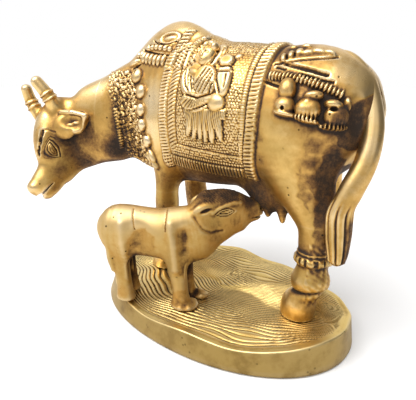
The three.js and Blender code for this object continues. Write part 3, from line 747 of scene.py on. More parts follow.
@dataclass(frozen=True)
class SaddleCloth:
    """The saddle cloth's relief on a flank, in millimetres along the back and down from the spine.

    Attributes:
        thick: Height of the plain cloth.
        rib: Height of the ribs on its bands.
        grain: Height of the beads in the field.
        figure: Height of the seated figure's parts.
    """

    thick: float = 0.7
    rib: float = 0.7
    grain: float = 0.5
    figure: float = 2.5

    def sag(self, u: Array) -> Array:
        """How much lower the hem hangs towards the rump."""
        return 0.12 * (u + 22)

    def lean(self, v: Array) -> Array:
        """How far the rear band leans forwards at its lower end."""
        return 3.2 * step_up(v, 55, 26)

    def bands(self, u: Array, v: Array) -> Array:
        """The ribbed bands, cords and rims round the field."""
        sag = self.sag(u)
        low = v - 57.5 - sag
        hem = v - 63.6 - sag
        above_hem = 1 - step_up(low, 3.5, 1)
        outer = band(u, -29.6, -24.6) * (0.5 + self.rib * ribs(v, 1.5, 0.7)) * (1 - step_up(hem, 3.0, 0.8))
        rope = cord(u, v, [(-21, -5), (-21, 56)], 2.8) * (0.5 + 0.8 * ribs(v + 0.35 * (u + 21), 1.7))
        rope = rope * above_hem
        rear_cord = cord(u, v, [(19.4, -5), (19.4, 46), (17.6, 62)], 1.1) * (0.35 + 0.5 * ribs(v, 1.2))
        shifted = u + self.lean(v)
        wobble = v + 0.12 * np.sin(2.3 * v) + 0.06 * (u - 24)
        rear = band(shifted, 21.6, 26.4) * (0.45 + self.rib * ribs(wobble, 1.85, 0.45))
        rear = rear * (1 - step_up(v, 75, 1))
        upper = band(low, -3.2, 0.6) * (0.45 + 0.5 * grains(u, low, 1.5, 0.8)) * band(u, -23.5, 18.4)
        upper = np.maximum(upper, cord(u, low, [(-22, 1.6), (17.5, 1.6)], 1.0) * (0.4 + 0.6 * ribs(u, 1.4)))
        lower = band(hem, -2.8, 2.8) * (0.25 + 0.85 * ribs(u + 0.1 * hem, 1.62, 0.8))
        lower = lower * band(u, -29.4, 17.6)
        return np.maximum.reduce([outer, rope, rear_cord, rear, upper, lower])

    def seated(self, u: Array, v: Array) -> Array:
        """The seated figure: crown arc, bent arm, fluted sash, knee, crossed leg and pleated skirt."""
        h = self.figure
        flats = [
            ((-9.6, 26.4), (7, 8), 6, 0.62), ((-2.4, 26.8), (6.4, 7.4), -22, 0.72),
            ((-6.6, 36.2), (8.6, 4.2), 4, 0.72), ((-1.2, 14.6), (3.6, 6.8), 6, 0.45),
            ((-12.4, 17.6), (4.2, 3.6), 30, 0.34), ((7.4, 25.8), (4, 8), -6, 0.66),
            ((6.2, 17.8), (3.7, 2.8), 0, 0.72), ((-5.2, 15.8), (3.9, 5.4), -10, 0.7),
        ]
        parts = [
            h * level * np.minimum(1.7 * oval(u, v, at, sizes, turn), 1.0) for at, sizes, turn, level in flats
        ]
        parts += [
            h * 0.5 * cord(u, v, [(-11.9, 5.9), (-15.1, 10.3), (-17.1, 14.8), (-16.5, 20.5)], 1.3),
            h * 0.78 * oval(u, v, (-9.0, 23.4), (5.2, 2.4), 12),
            h * 0.86 * oval(u, v, (-2.2, 27.6), (5.4, 6.0), -30),
            h * 0.95 * oval(u, v, (5.7, 35.7), (4.5, 4.1), 10),
            h * 0.84 * cord(u, v, [(-6.0, 36.4), (1.0, 34.8), (4.0, 34.4)], 2.0),
            h * 0.4 * oval(u, v, (10.6, 15.0), (1.8, 1.4), -30),
        ]
        lines = [
            ([(-14.4, 21.4), (-14, 25.4), (-12.4, 29.4), (-10.2, 31.4)], 0.4, 0.8),
            ([(-12.2, 22.6), (-11.8, 26), (-10.4, 29.6)], 0.35, 0.6),
            ([(-10.2, 25.6), (-9.4, 28.4), (-8, 31)], 0.55, 1.1),
            ([(-8, 26.6), (-7.6, 29), (-6.6, 31.2)], 0.4, 0.9),
            ([(-0.2, 22.2), (-3.2, 27.2), (-6, 31.9)], 0.4, 0.95),
            ([(2, 24.6), (0.2, 29), (-1.6, 32.3)], 0.4, 0.95),
            ([(-2.5, 21.9), (-4.9, 26.4), (-6.9, 29)], 0.35, 0.8),
            ([(1, 23.2), (-1.6, 28.2), (-3.7, 32)], 0.35, 0.8),
            ([(-11.2, 33), (-4.2, 34.3), (1.4, 32.6), (2.6, 28.2)], 0.55, 1.3),
            ([(-13.9, 38.6), (-9, 39.6), (-5.2, 38.9), (1.4, 36.6)], 0.55, 1.1),
            ([(2.8, 20.8), (9.8, 20.3)], 0.65, 1.6), ([(4.2, 23.1), (10.1, 22.7)], 0.4, 0.9),
            ([(3.2, 21.7), (4.4, 26.5), (7.2, 31.6)], 0.65, 1.5), ([(8.8, 24.2), (9.2, 29.4)], 0.35, 0.6),
            ([(-2.2, 10.2), (-0.6, 14), (-1.2, 19.2)], 0.6, 0.9),
            ([(1, 10.4), (1.9, 14.6), (1.2, 18.4)], 0.4, 0.6), ([(-15.6, 15.2), (-11, 18.6)], 0.4, 0.7),
            ([(-15.4, 18.2), (-11.6, 20.6)], 0.4, 0.7),
            ([(-11.4, 10.6), (-12.6, 14), (-12.4, 16.4)], 0.4, 0.6),
        ]
        body = np.maximum.reduce(parts)
        flutes = ribs(np.degrees(np.arctan2(v - 29.0, u + 1.0)), 7.5, 1.4)
        body = body - 0.55 * (1 - flutes) * band(v, 34.9, 38.6, 0.6) * band(u, -14.2, 0.6, 1.0)
        tips_u = (-13.0, -9.9, -7.9, -6.0, -4.0, -2.1, -0.6, 0.9, 2.6, 4.5, 6.8, 9.6, 12.0)
        tips_v = (43.0, 51.7, 45.8, 52.6, 46.2, 53.0, 46.4, 53.4, 46.6, 53.6, 46.2, 52.6, 42.5)
        drop = np.clip((v - 38.0) / 13.0, 0.0, 1.2)
        fan = (u + 0.4) / (0.66 + 0.34 * drop)
        edge = np.interp(fan - 0.4, tips_u, tips_v)
        lobe = np.interp(fan - 0.4, tips_u, (0.2, 1, 0, 1, 0, 1, 0, 1, 0, 1, 0, 1, 0.2))
        pleat = ribs(fan + 0.3 * np.sin(0.5 * v), 1.45, 0.7)
        skirt = h * (0.5 + 0.42 * drop) - 0.85 * (1 - lobe) * drop - 0.5 * (1 - pleat) * (1.15 - 0.6 * drop)
        skirt = skirt * (1 - step_up(v - edge, 0.1, 0.8)) * step_up(v, 38.4, 1.2)
        skirt = skirt * band(u, -12.6 + 0.22 * (v - 38), 11.2, 0.8)
        cuts = np.add.reduce([depth * cord(u, v, path, width) for path, width, depth in lines])
        return np.maximum.reduce([body - cuts * (body > 0.25), skirt, 0 * u])

    def height(self, u: Array, v: Array) -> Array:
        """The whole cloth's height over the bare flank."""
        hanging = v - self.sag(u)
        cloth = band(u, -30, 27.2, 0.8) * (1 - step_up(hanging, 66.6, 0.8))
        cloth = cloth * (1 - step_up(u + self.lean(v), 27, 0.8))
        field = band(u, -17.6, 18.2) * (1 - step_up(hanging, 53.6, 0.6))
        figure = self.seated(u, v)
        corners = step_up(u, 11.5, 2) * step_up(v, 27, 6)
        crowd = np.maximum.reduce([step_up(-u, 11.5, 2), step_up(v, 45, 4), corners, 0.3 + 0 * u])
        beads = self.grain * grains(u, v, 1.42, 0.66) * crowd
        stipple = 0.5 * grains(u + 0.4 * v, v, 1.25, 0.42) * step_up(-v, -13, 3) * step_up(u, 1, 4)
        beads = (beads - stipple) * field * (figure < 0.25)
        return cloth * (self.thick + self.bands(u, v) + beads + figure * field)


# Ornaments of the left flank; the right one carries their mirror image.


def garland() -> list[Boss]:
    """The garland behind the collar: a big petal, round beads that shrink and a leaf at the breast."""
    rows = (
        ((-51.1, -4, 115), (3.6, 4, 2.3), 20, 0.5), ((-52.6, -3, 116.2), (1.9, 1.6, 1.6), 30, 2.4, 0.4, True),
        ((-53.8, -0.7, 119.4), (3, 0.8, 1.6), 25, 0, 0.4, True),
        ((-56, -0.4, 121.5), (3.4, 1.5, 1.4), 25, 0.3), ((-45.4, -6.3, 107.2), (3.3, 3.7, 2.1), 0, 0.5),
        ((-44.3, -7.9, 98.4), (2.9, 3.4, 2.1), 0, 0.5), ((-43.5, -8.2, 91), (2.9, 3.3, 2.1), 0, 0.5),
        ((-40.7, -8, 82.9), (3.4, 3.4, 2.1), 25, 0.5), ((-37.8, -7.5, 75.6), (1.8, 4, 1.7), 35, 0.4),
        ((-41.8, -6, 74.4), (1.5, 3.2, 1.5), 30, 0.3), ((-36, -7, 71.4), (1.5, 3, 1.5), 50, 0.3),
        ((-51.5, 1.7, 125), (1.5, 2, 1.2), 0, 0.3), ((-54.5, 2.6, 124.8), (1.3, 1.6, 1.1), 0, 0.3),
    )
    return [Boss(*row) for row in rows]


def hump_ornament() -> list[Boss]:
    """The hump's oval medallion with its dished ring, a scalloped row and a fringe of petals."""
    medallion = (
        ((-31.8, 1.1, 132.2), (6.8, 3.4, 1.5), 6, 0.2),
        ((-31.8, 1.1, 132.2), (5.5, 2.4, 1.3), 6, 1.3, 0.4, True),
        ((-31.4, 1.1, 132), (4.2, 1.5, 1.1), 8, 0.2, 0.4),
        ((-39.4, 2, 131), (1.7, 0.6, 1.4), 40, 0.2, 0.3, True),
    )
    scallops = (
        (-46.5, 1.6, 127.9), (-43.4, 1.2, 128.2), (-40.2, 0.8, 128.2),
        (-37, 0.4, 127.8), (-33.6, 0, 127.4), (-30.4, -0.2, 127),
    )
    petals = (
        (-48.6, 0.5, 123.4), (-45.6, -0.2, 122.9), (-42.4, -0.7, 122.5),
        (-39.2, -1.2, 122), (-36, -1.7, 121.8), (-32.8, -1.9, 121.9),
    )
    return [
        *(Boss(*row) for row in medallion),
        *(Boss(at, (1.35, 1.5, 1.2), 0, 0.25, 0.4) for at in scallops),
        *(Boss(at, (1.35, 2.9, 1.5), -8, 0.35, 0.4) for at in petals),
    ]


def rump_ornament() -> list[Boss]:
    """The rump's leafy strap, ribbed strap, bell and two tassels."""
    singles = (
        ((31.4, -1.9, 121.9), (1.2, 2.3, 1.2), 15), ((34, -0.8, 122.9), (1.3, 2.2, 1.2), 10),
        ((36.8, 0.3, 123.8), (1.6, 1.9, 1.2), 0), ((40.2, 0.2, 123.4), (2.3, 1.3, 1.1), 10),
        ((44, 1.8, 123.9), (2.6, 1.3, 1.1), 0), ((48, 3, 123.4), (2.2, 1, 1), 0),
        ((32.5, 3.5, 125.8), (1.6, 1.2, 1), 0), ((37.5, 4.6, 126), (2, 1.1, 1), 0),
        ((32.6, -1.4, 122.4), (0.5, 1.8, 1), 12, 0.2, 0.3, True),
        ((35.4, -0.4, 123.2), (0.5, 1.8, 1), 12, 0.2, 0.3, True),
        ((38.4, -11.2, 110.6), (3.3, 4.4, 3.2), 10, 1.4, 0.5),
        ((38.4, -12.8, 104.6), (4, 3.8, 3.2), 0, 1.2, 0.6), ((38.7, -13.4, 102), (4.6, 1.3, 3), -8, 1.3, 0.4),
        ((38.9, -13, 103.6), (0.8, 0.8, 2), 0, 4, 0.2, True),
        ((48.1, -9.2, 108.2), (3.6, 1.8, 2.6), 10, 1.3, 0.4),
        ((46.6, -10.6, 105.8), (1.6, 1.5, 2.6), 0, 1.6, 0.4),
        ((47.2, -11.6, 103.8), (4.7, 4.2, 3.2), 0, 1.2, 0.5),
        ((46.9, -11.8, 100.2), (5, 1.5, 3), -10, 1.3, 0.4),
        ((54.8, -7.3, 105.4), (3.4, 1.8, 2.8), 0, 1.3, 0.4), ((56, -7.1, 101.4), (4.4, 4, 3.2), 0, 1.2, 0.5),
        ((55.4, -7.8, 97.8), (5.2, 1.5, 2.8), 0, 1.2, 0.4),
        ((54.6, -7.3, 103.6), (1.4, 0.8, 2), 0, 3.4, 0.3, True),
        ((58.9, -4, 105.4), (1.6, 2.8, 1.9), 20, 0.8, 0.4),
        ((62.2, -1.4, 101), (3.6, 9, 2.6), 5, 0.6, 1.4, True),
    )
    rows = [Boss(*row) for row in singles]
    path = np.array([
        (28.8, -6.9, 115.2), (35.3, -7.6, 114.8), (41.5, -7.6, 114),
        (47.3, -7.2, 112.6), (52.6, -5.9, 110.6), (56.8, -4, 108.6),
    ])
    run = np.concatenate([[0.0], np.cumsum(np.linalg.norm(np.diff(path, axis=0), axis=1))])
    for k, place in enumerate(np.arange(0.4, run[-1], 1.5)):
        at = tuple(float(np.interp(place, run, column)) for column in path.T)
        rows.append(Boss(at, (0.6, 2.0 + 0.25 * np.sin(1.7 * k), 1.3), -6 - 0.5 * k, 0.5, 0.35))
    for x, y, z, spread in ((46.9, -11.8, 101.4, 1.3), (55.6, -7.5, 98.8, 1.35)):
        for k in range(-3, 4):
            at = (x + spread * k, y + 0.25 * k, z - 0.8)
            rows.append(Boss(at, (0.28, 1.6, 3.0), 2 * k, 3.3, 0.2, True))
    return rows


# Hollows behind the near thigh and above its hock.
HOLLOWS = [
    Boss((55.0, -7.0, 82.0), (6.0, 13.0, 2.8), 6, 0.9, 1.6, True),
    Boss((54.0, -6.0, 66.0), (4.2, 8.0, 2.2), -8, 0.8, 1.2, True),
]


def collar_knots(count: int = 250, seed: int = 5) -> list[Boss]:
    """The collar's crowded knots and leaves, thrown at random between its two edges."""
    random = np.random.default_rng(seed)
    rows = []
    for _ in range(count):
        z = random.uniform(70, 117)
        share = random.uniform(0.02, 1.0) ** 0.85
        x = collar_edge(z, COLLAR_FRONT) * (1 - share) + collar_edge(z, COLLAR_BACK) * share
        y = -7.5 + 6.0 * abs((z - 95) / 24) ** 3 - 0.12 * (x + 60)
        size = random.uniform(0.45, 1.1) * (0.45 + 0.55 * min(1.0, share * 1.8))
        sizes = (size, size * random.uniform(0.7, 1.6), size * 0.95)
        rows.append(Boss((x, y, z), sizes, random.uniform(-70, 70), 0.15, 0.35))
    for z in np.arange(76, 99, 1.55):
        rows.append(Boss((collar_edge(z, COLLAR_FRONT) + 2.2, -8.5, z), (1.7, 0.6, 1.1), 12, 0.3, 0.3))
    return rows


# The collar's two edges: rows of height and place along the body.
COLLAR_FRONT = (
    (70, -64.5), (79, -64.2), (91, -64.4), (100, -66.1), (108.5, -71.2), (113.6, -72.7), (120, -72),
)
COLLAR_BACK = (
    (70, -44), (76, -44), (83, -45), (91, -46.6), (98, -47.4), (107, -49), (115, -55.4), (120, -60),
)


def collar_edge(z: "Array | float", edge: Path) -> "Array | float":
    """Where an edge of the collar lies along the body at a height."""
    heights, places = np.array(edge).T
    return np.interp(z, heights, places)


def collar_height(points: Array) -> Array:
    """The collar's ground: a low rough plate between its edges, pitted all over."""
    x, _, z = points.T
    front, back = collar_edge(z, COLLAR_FRONT), collar_edge(z, COLLAR_BACK)
    share = (x - front) / (back - front)
    ground = step_up(share, 0.15, 0.35) * (1 - step_up(share, 0.98, 0.06)) * band(z, 66, 117, 4)
    wander = waves(points, 5, 3)
    rough = grains(x + wander, z - wander, 1.5, 0.7) * 0.45 + 0.3 * waves(points, 2.0, 8)
    return ground * (0.15 + rough)


# Carved lines: a path in x and z, its half width and its depth.
HUMP_CUTS = [
    (((-51.5, 127.6), (-49, 126.9), (-41, 125.4), (-32.5, 124.5), (-28.5, 124.6)), 0.55, 1),
    (((-44, 131.6), (-40, 129.9), (-32, 129.3), (-27, 130.4)), 0.45, 0.8),
    (((-47.6, 129.6), (-43, 129.9)), 0.45, 0.8),
]
RUMP_CUTS = [
    (((33.5, 119.9), (38, 118.9), (43.7, 117.6), (50.5, 115.8)), 0.75, 1.3),
    (((41, 115.9), (47.8, 114.4), (53, 113.2)), 0.6, 1.1), (((30, 118.6), (34.5, 117.7)), 0.5, 0.9),
    (((27.5, 113), (34, 111.4)), 0.6, 1),
    (((28.5, 119.6), (38, 121), (46, 121.6), (51, 122)), 0.5, 0.8),
]


def carved_lines(points: Array, cuts: Sequence[tuple[Path, float, float]]) -> Array:
    """The depth of carved lines, seen square to a flank."""
    x, z = points[:, 0], points[:, 2]
    return -np.add.reduce([depth * cord(x, z, path, width) for path, width, depth in cuts])


def hump_height(points: Array, normal: Array) -> Array:
    """The hump's carved lines, and the rungs of the band that edges the cloth there."""
    x, z = points[:, 0], points[:, 2]
    flank = step_up(np.abs(normal[:, 1]), 0.5, 0.3)
    middle = np.interp(z, (116, 118.5, 123.9, 127.5, 133.7, 137), (-27.3, -27.7, -26.1, -24.4, -22.3, -21))
    rungs = band(x - middle, -2.5, 2.3, 0.6) * (0.25 + 0.85 * ribs(z, 1.55)) * band(z, 117.5, 135.5, 1.5)
    middle = np.interp(z, (116, 122, 127, 131.5), (-21, -20.2, -17.4, -9.5))
    rope = band(x - middle, -1.9, 1.9, 1.0) * (0.3 + 0.8 * ribs(z + 0.3 * x, 1.5))
    rope = rope * band(z, 117.5, 130.5, 1.5)
    return flank * (np.maximum(rungs, rope) + carved_lines(points, HUMP_CUTS))


# Round spots of colour on each casting: patina and painted shade where the metal is darkest, pale wear and
# painted highlight, and olive tone with painted shade. Rows of x, y, z, radius and strength.

# Patina, and painted shade under the belly and udder, in the ears, on the face and on the far legs.
COW_STAINS_AND_SHADE = [
    (*on_head(9, 3, 26), 6, 0.95), (*on_head(9, -5, 12), 8, 1.0), (*on_head(10, -9, 20), 11, 0.8),
    (*on_head(6, -6, 44), 5, 0.7), (*on_head(9, 0, 20), 16, 0.6), (*on_head(7, -5, 34), 8, 0.75),
    (*on_head(7, 9, 21), 2.6, 0.9), (*on_head(4.4, 8.4, 27.5), 2.4, 0.9), (-87, -15, 68, 11, 0.9),
    (-80, -14, 80, 12, 0.75), (-70, -10, 70, 10, 0.65), (-66, -8, 76, 12, 1.1), (-56, -8, 74, 13, 1.2),
    (-58, -6, 88, 13, 1), (-60, -4, 100, 12, 0.9), (-60, 0, 110, 9, 0.85), (36, -9, 112, 10, 0.65),
    (50, -8, 107, 9, 0.8), (42, -12, 104, 7, 0.7), (56, -6, 101, 6, 0.9), (-56, -6, 80, 9, 0.95),
    (*on_head(16, -4, 7), 3.6, 1.0), (*on_head(10.5, 1.4, 25.5), 3.0, 0.75), (*on_head(12, -4, 14), 6, 0.9),
    (46, -7, 46, 9, 0.75), (44, -7, 26, 6, 0.75), (44, -8, 14, 6, 0.5), (-108, -16, 112, 12, 0.8),
    (50, -10, 91, 5, 0.85), (49, -10, 84, 5, 0.85), (50, -9.5, 77, 5, 0.9), (50, -9, 70, 4, 0.8),
    (27, -12, 82, 3.5, 0.8), (28, -12, 92, 3, 0.6), (26, -11, 75, 4, 0.9), (-72, -10, 90, 9, 0.4),
    (40, -12, 105, 8, 0.55), (48, -11, 100, 9, 0.7), (56, -8, 98, 8, 0.9), (60, -3, 102, 7, 0.85),
    (60, -2, 94, 7, 0.85), (57, -5, 88, 7, 0.8), (54, -7, 80, 7, 0.8), (56, -2, 74, 9, 0.9),
    (54, -6, 65, 6, 0.85), (54, -5, 56, 5, 0.7), (52, 8, 62, 12, 0.9), (0, -8, 60, 24, 1),
    (-18, -6, 61, 14, 0.9), (-33, -5, 62, 10, 0.7), (-34, -3, 46, 12, 0.85), (20, -2, 59, 14, 1.1),
    (26, 8, 58, 16, 1.1), (55, -4, 41, 6, 0.8), (54, -3, 33, 7, 0.7), (51, -6, 27, 4, 0.7),
    (48, -4, 22.5, 5, 0.75), (47, -6, 12, 5, 0.7), (-34, 24, 44, 20, 0.9), (40, 24, 46, 24, 0.8),
    (-38, -2, 124, 12, 0.35), (33, 2, 123, 9, 0.7), (42, -3, 117, 10, 0.7), (-8, -10, 118, 6, 0.35),
    (14, -6, 126, 8, 0.45), (62, -4, 54, 5, 0.7), (63, -3, 46, 5, 0.8),
]
# Pale spots: wear where hands reach, and painted highlight on the hump, rump, shoulder strip, brow and base
# top.
WEAR_AND_HIGHLIGHT_SPOTS = [
    (-32, 6, 137, 16, 0.4), (-20, 6, 130, 12, 0.4), (-50, 6, 126, 10, 0.7), (-37, -9, 102, 10, 1),
    (-37, -9, 89, 10, 1), (46, 2, 121, 12, 0.3), (56, 2, 116, 10, 0.45), (64, 4, 104, 9, 0.7),
    (66, 2, 90, 8, 0.8), (64, -2, 76, 8, 0.6), (-78, 0, 112, 13, 1), (-88, -6, 106, 9, 0.8),
    (-66, 4, 118, 10, 0.8), (-104, -28, 88, 7, 0.7), (-104, -34, 70, 9, 0.5), (-98, -22, 108, 10, 0.3),
    (-110, -10, 116, 12, 0.1), (-82, -20, 96, 6, 0.9), (-22, -34, 58, 15, 0.8), (-6, -26, 57, 9, 0.7),
    (-44, -44, 50, 8, 0.6), (42, -13, 92, 9, 0.35), (44, -9, 72, 7, 0.5), (2, -42, 12, 20, 0.35),
    (52, -20, 12, 16, 0.5), (20, 30, 12, 20, 0.3),
]
# Olive spots: partly the metal's own olive tone, partly painted shade on the legs, thigh, throat and calf.
DULL_AND_SHADE_SPOTS = [
    (34, -14, 88, 15, 0.75), (38, -12, 72, 12, 0.7), (46, -8, 54, 12, 0.75), (48, -6, 34, 16, 0.85),
    (46, -6, 16, 9, 0.35), (-34, -4, 55, 16, 0.85), (-34, -4, 35, 14, 0.8), (-92, -24, 66, 18, 0.8),
    (-84, -16, 86, 10, 0.5), (62, 0, 84, 14, 0.5), (66, 6, 104, 10, 0.4), (-66, -8, 90, 14, 0.4),
    (8, -14, 54, 12, 0.7), (-2, -26, 34, 16, 0.75), (-28, -38, 28, 16, 0.6), (-14, -34, 42, 10, 0.6),
    (0, -12, 66, 30, 0.4), (60, -4, 52, 12, 0.6),
]
# The calf's patina, and painted shade under its belly, between its legs and on its far legs.
CALF_STAINS_AND_SHADE = [
    (3, -14, 66.5, 9.5, 1.3), (10, -9, 66, 9, 1.3), (18, -3, 61, 6, 1.1), (4, -22, 52, 5, 0.6),
    (8, -18, 47, 6, 0.7), (9, -10, 56, 11, 0.55), (16, -10, 53, 5, 0.6), (20, -2, 56, 5, 0.9),
    (4, -20, 47, 6, 0.55), (0, -22, 42, 7, 0.5), (-31, -31, 30, 10, 1.15), (-6, -19, 28, 9, 1.15),
    (-22, -38, 32, 5, 0.7), (-18, -28, 34, 9, 0.55), (-16, -40, 45, 4, 0.35), (1, -30, 48, 4, 0.45),
    (-27, -43, 16, 5, 0.5), (0, -28, 14, 5, 0.5), (-2, -18, 14, 6, 0.6), (-34, -30, 20, 8, 1.1),
]
# Darker patches on the base's top, round and under the animals' feet.
BASE_DARK_PATCHES = [
    (-20, -10, 11, 18, 0.4), (-30, 12, 11, 22, 0.45), (45, -3, 11, 11, 0.6), (-2, -24, 11, 9, 0.55),
    (-26, -38, 11, 8, 0.6), (-8, -14, 11, 8, 0.5), (30, 24, 11, 14, 0.35), (55, 15, 11, 9, 0.4),
]

# Painted shade on planes with clear borders: an outline in x and z, and a strength.
SHADES = [
    (((44.4, 81), (48.6, 79), (48.4, 70), (51, 62), (47.5, 66), (44.6, 70.5)), 0.6),
    (((53.4, 88), (57.4, 88), (60, 80), (59, 70), (55, 62), (51.6, 64.5), (50.1, 70), (49.4, 77)), 0.85),
    (((47.4, 96), (49.6, 96), (48.4, 86), (46.6, 79), (45.4, 80), (46.4, 88)), 0.6),
    (((51, 64), (60, 64), (60, 46), (51.5, 46), (50.6, 55)), 0.75),
    (((56, 104), (66, 110), (66, 88), (58, 90), (55.4, 96)), 0.95),
    (((50.4, 46), (60, 46), (60, 12), (50.2, 12), (48.8, 20), (51.8, 25), (52, 35)), 0.6),
    (((26.4, 112), (28, 112), (26.8, 88), (24, 70), (22.8, 70), (25, 88)), 0.45),
]


def inside(u: Array, v: Array, outline: Path, soft: float) -> Array:
    """1 inside an outline and 0 outside it, with a soft edge.

    A point is inside when a level ray from it crosses an odd number of sides.
    """
    closed = [*outline, outline[0]]
    odd = np.zeros(u.shape, dtype=bool)
    for (a0, b0), (a1, b1) in zip(closed[:-1], closed[1:]):
        slope = (a1 - a0) / (b1 - b0) if b1 != b0 else 0.0
        odd ^= ((b0 > v) != (b1 > v)) & (u < a0 + (v - b0) * slope)
    return step_up(np.where(odd, 1.0, -1.0) * distance_to(u, v, closed), 0.0, soft)


# The same on the calf, along the photograph's level line instead of x.
LEVEL = (0.788, 0.616)
CALF_SHADES = [
    (
        (
            (-43, 37), (-42.4, 45), (-39.4, 49.4), (-34.4, 50),
            (-30.6, 47), (-29.4, 42), (-31.5, 38.4), (-37, 36.4),
        ),
        0.42,
    ),
    (((-20.6, 49.4), (-17, 50.6), (-13.6, 48), (-13.4, 38), (-15, 28), (-19.6, 28)), 0.42),
    (((-24, 20), (-8, 22), (-6, 12), (-24, 12)), 0.5),
]


def along_level(points: Array) -> Array:
    """How far to the right points lie as the photograph shows them."""
    return LEVEL[0] * points[:, 0] + LEVEL[1] * points[:, 1]


def shaded(points: Array, u: Array, shades: Sequence[tuple[Path, float]]) -> Array:
    """How much painted shade lies inside outlines, seen square to one side, with wandering borders."""
    wander = 0.8 * waves(points, 6, 21)
    areas = [level * inside(u + wander, points[:, 2] + wander, outline, 1.6) for outline, level in shades]
    return np.maximum.reduce(areas)


def spot_strength(points: Array, spot_table: Sequence[Station]) -> Array:
    """How strong a table of round spots is at each point: each fades with the squared distance from its
    middle.
    """
    total = np.zeros(len(points))
    for x, y, z, radius, strength in spot_table:
        reach = ((points - vec(x, y, z)) ** 2).sum(axis=1) / radius**2
        total = np.maximum(total, strength * np.exp(-reach))
    return total


def finish_skin(
    skin: Skin, field: Field, relief: Array, spot_table: Sequence[Station],
    dark: "Array | float" = 0.0, edge: "Array | None" = None,
) -> None:
    """Raises the carving on a skin and notes its hollows and staining for the patina, its painted shade, and
    its wear with painted highlight.

    Args:
        skin: The smooth skin.
        field: The field it lies on.
        relief: Height of the carving at each vertex.
        spot_table: The casting's table of patina spots and painted shade.
        dark: Painted shade at each vertex; it also takes the wear and painted highlight away there.
        edge: Distance from where the skin is cut off, there drawn in a little under its neighbour.
    """
    normal = unit(field.slope(skin.points))
    near, wide = (
        1.0 - np.clip(field.at(skin.points + away * normal) / away, 0.0, 1.0) for away in (2.0, 6.0)
    )
    whole = np.ones(len(normal)) if edge is None else step_up(edge, 0.9, 0.9)
    skin.points = skin.points + normal * (relief - 0.15 * (1 - whole))[:, None]
    # Painted shade: parts that face down are darkened.
    under = 0.85 * step_up(-normal[:, 2], 0.6, 0.8)
    skin.marks["hollow"] = 0.5 + np.clip(1.9 * skin.hollows(), -0.5, 0.5) * whole
    # Painted shade: ambient occlusion, darker where the field closes in 2 and 6 mm out along the normal.
    skin.marks["painted_occlusion"] = np.clip(0.6 * near + 0.7 * wide, 0.0, 1.0)
    # Patina spots, with painted shade from the tables, from facing down and from the outlines.
    skin.marks["stain_and_shade"] = np.maximum(np.maximum(spot_strength(skin.points, spot_table), under), dark)
    # Pale wear and painted highlight, none where the outlined painted shade lies.
    skin.marks["wear_and_highlight"] = wear_and_highlight_at(skin.points, normal, WEAR_AND_HIGHLIGHT_SPOTS) * (1 - np.clip(dark, 0, 1))
    # Olive tone, partly the metal's own and partly painted shade.
    skin.marks["dull_and_shade"] = spot_strength(skin.points, DULL_AND_SHADE_SPOTS)


def wear_and_highlight_at(points: Array, normal: Array, places: Sequence[Station]) -> Array:
    """How pale the metal is made near the listed places where it faces up or out: partly wear where hands
    reach, partly painted highlight.
    """
    return spot_strength(points, places) * step_up(normal[:, 2], -0.1, 0.9)


# Shaders.


class Wire:
    """A node socket or a number that takes part in arithmetic."""

    def __init__(self, tree: "Tree", value: "bpy.types.NodeSocket | float") -> None:
        """Wraps a socket or a number."""
        self.tree = tree
        self.value = value

    def _math(self, operation: str, other: "Wire | float", swap: bool = False) -> "Wire":
        """One Math node on this value and another."""
        pair = [other, self] if swap else [self, other]
        return self.tree.node("ShaderNodeMath", {"operation": operation}, {0: pair[0], 1: pair[1]})

    def __add__(self, other: "Wire | float") -> "Wire":
        """The sum."""
        return self._math("ADD", other)

    __radd__ = __add__

    def __sub__(self, other: "Wire | float") -> "Wire":
        """The difference."""
        return self._math("SUBTRACT", other)

    def __rsub__(self, other: "Wire | float") -> "Wire":
        """The difference, the other way round."""
        return self._math("SUBTRACT", other, swap=True)

    def __mul__(self, other: "Wire | float") -> "Wire":
        """The product."""
        return self._math("MULTIPLY", other)

    __rmul__ = __mul__

    def clamped(self) -> "Wire":
        """The value held between 0 and 1."""
        return self.tree.node("ShaderNodeClamp", {}, {"Value": self})

    def between(self, low: float, high: float, first: float = 0.0, second: float = 1.0) -> "Wire":
        """One result below a value and another above a second value, smooth between them."""
        inputs = {"Value": self, "From Min": low, "From Max": high, "To Min": first, "To Max": second}
        return self.tree.node("ShaderNodeMapRange", {"interpolation_type": "SMOOTHSTEP"}, inputs)


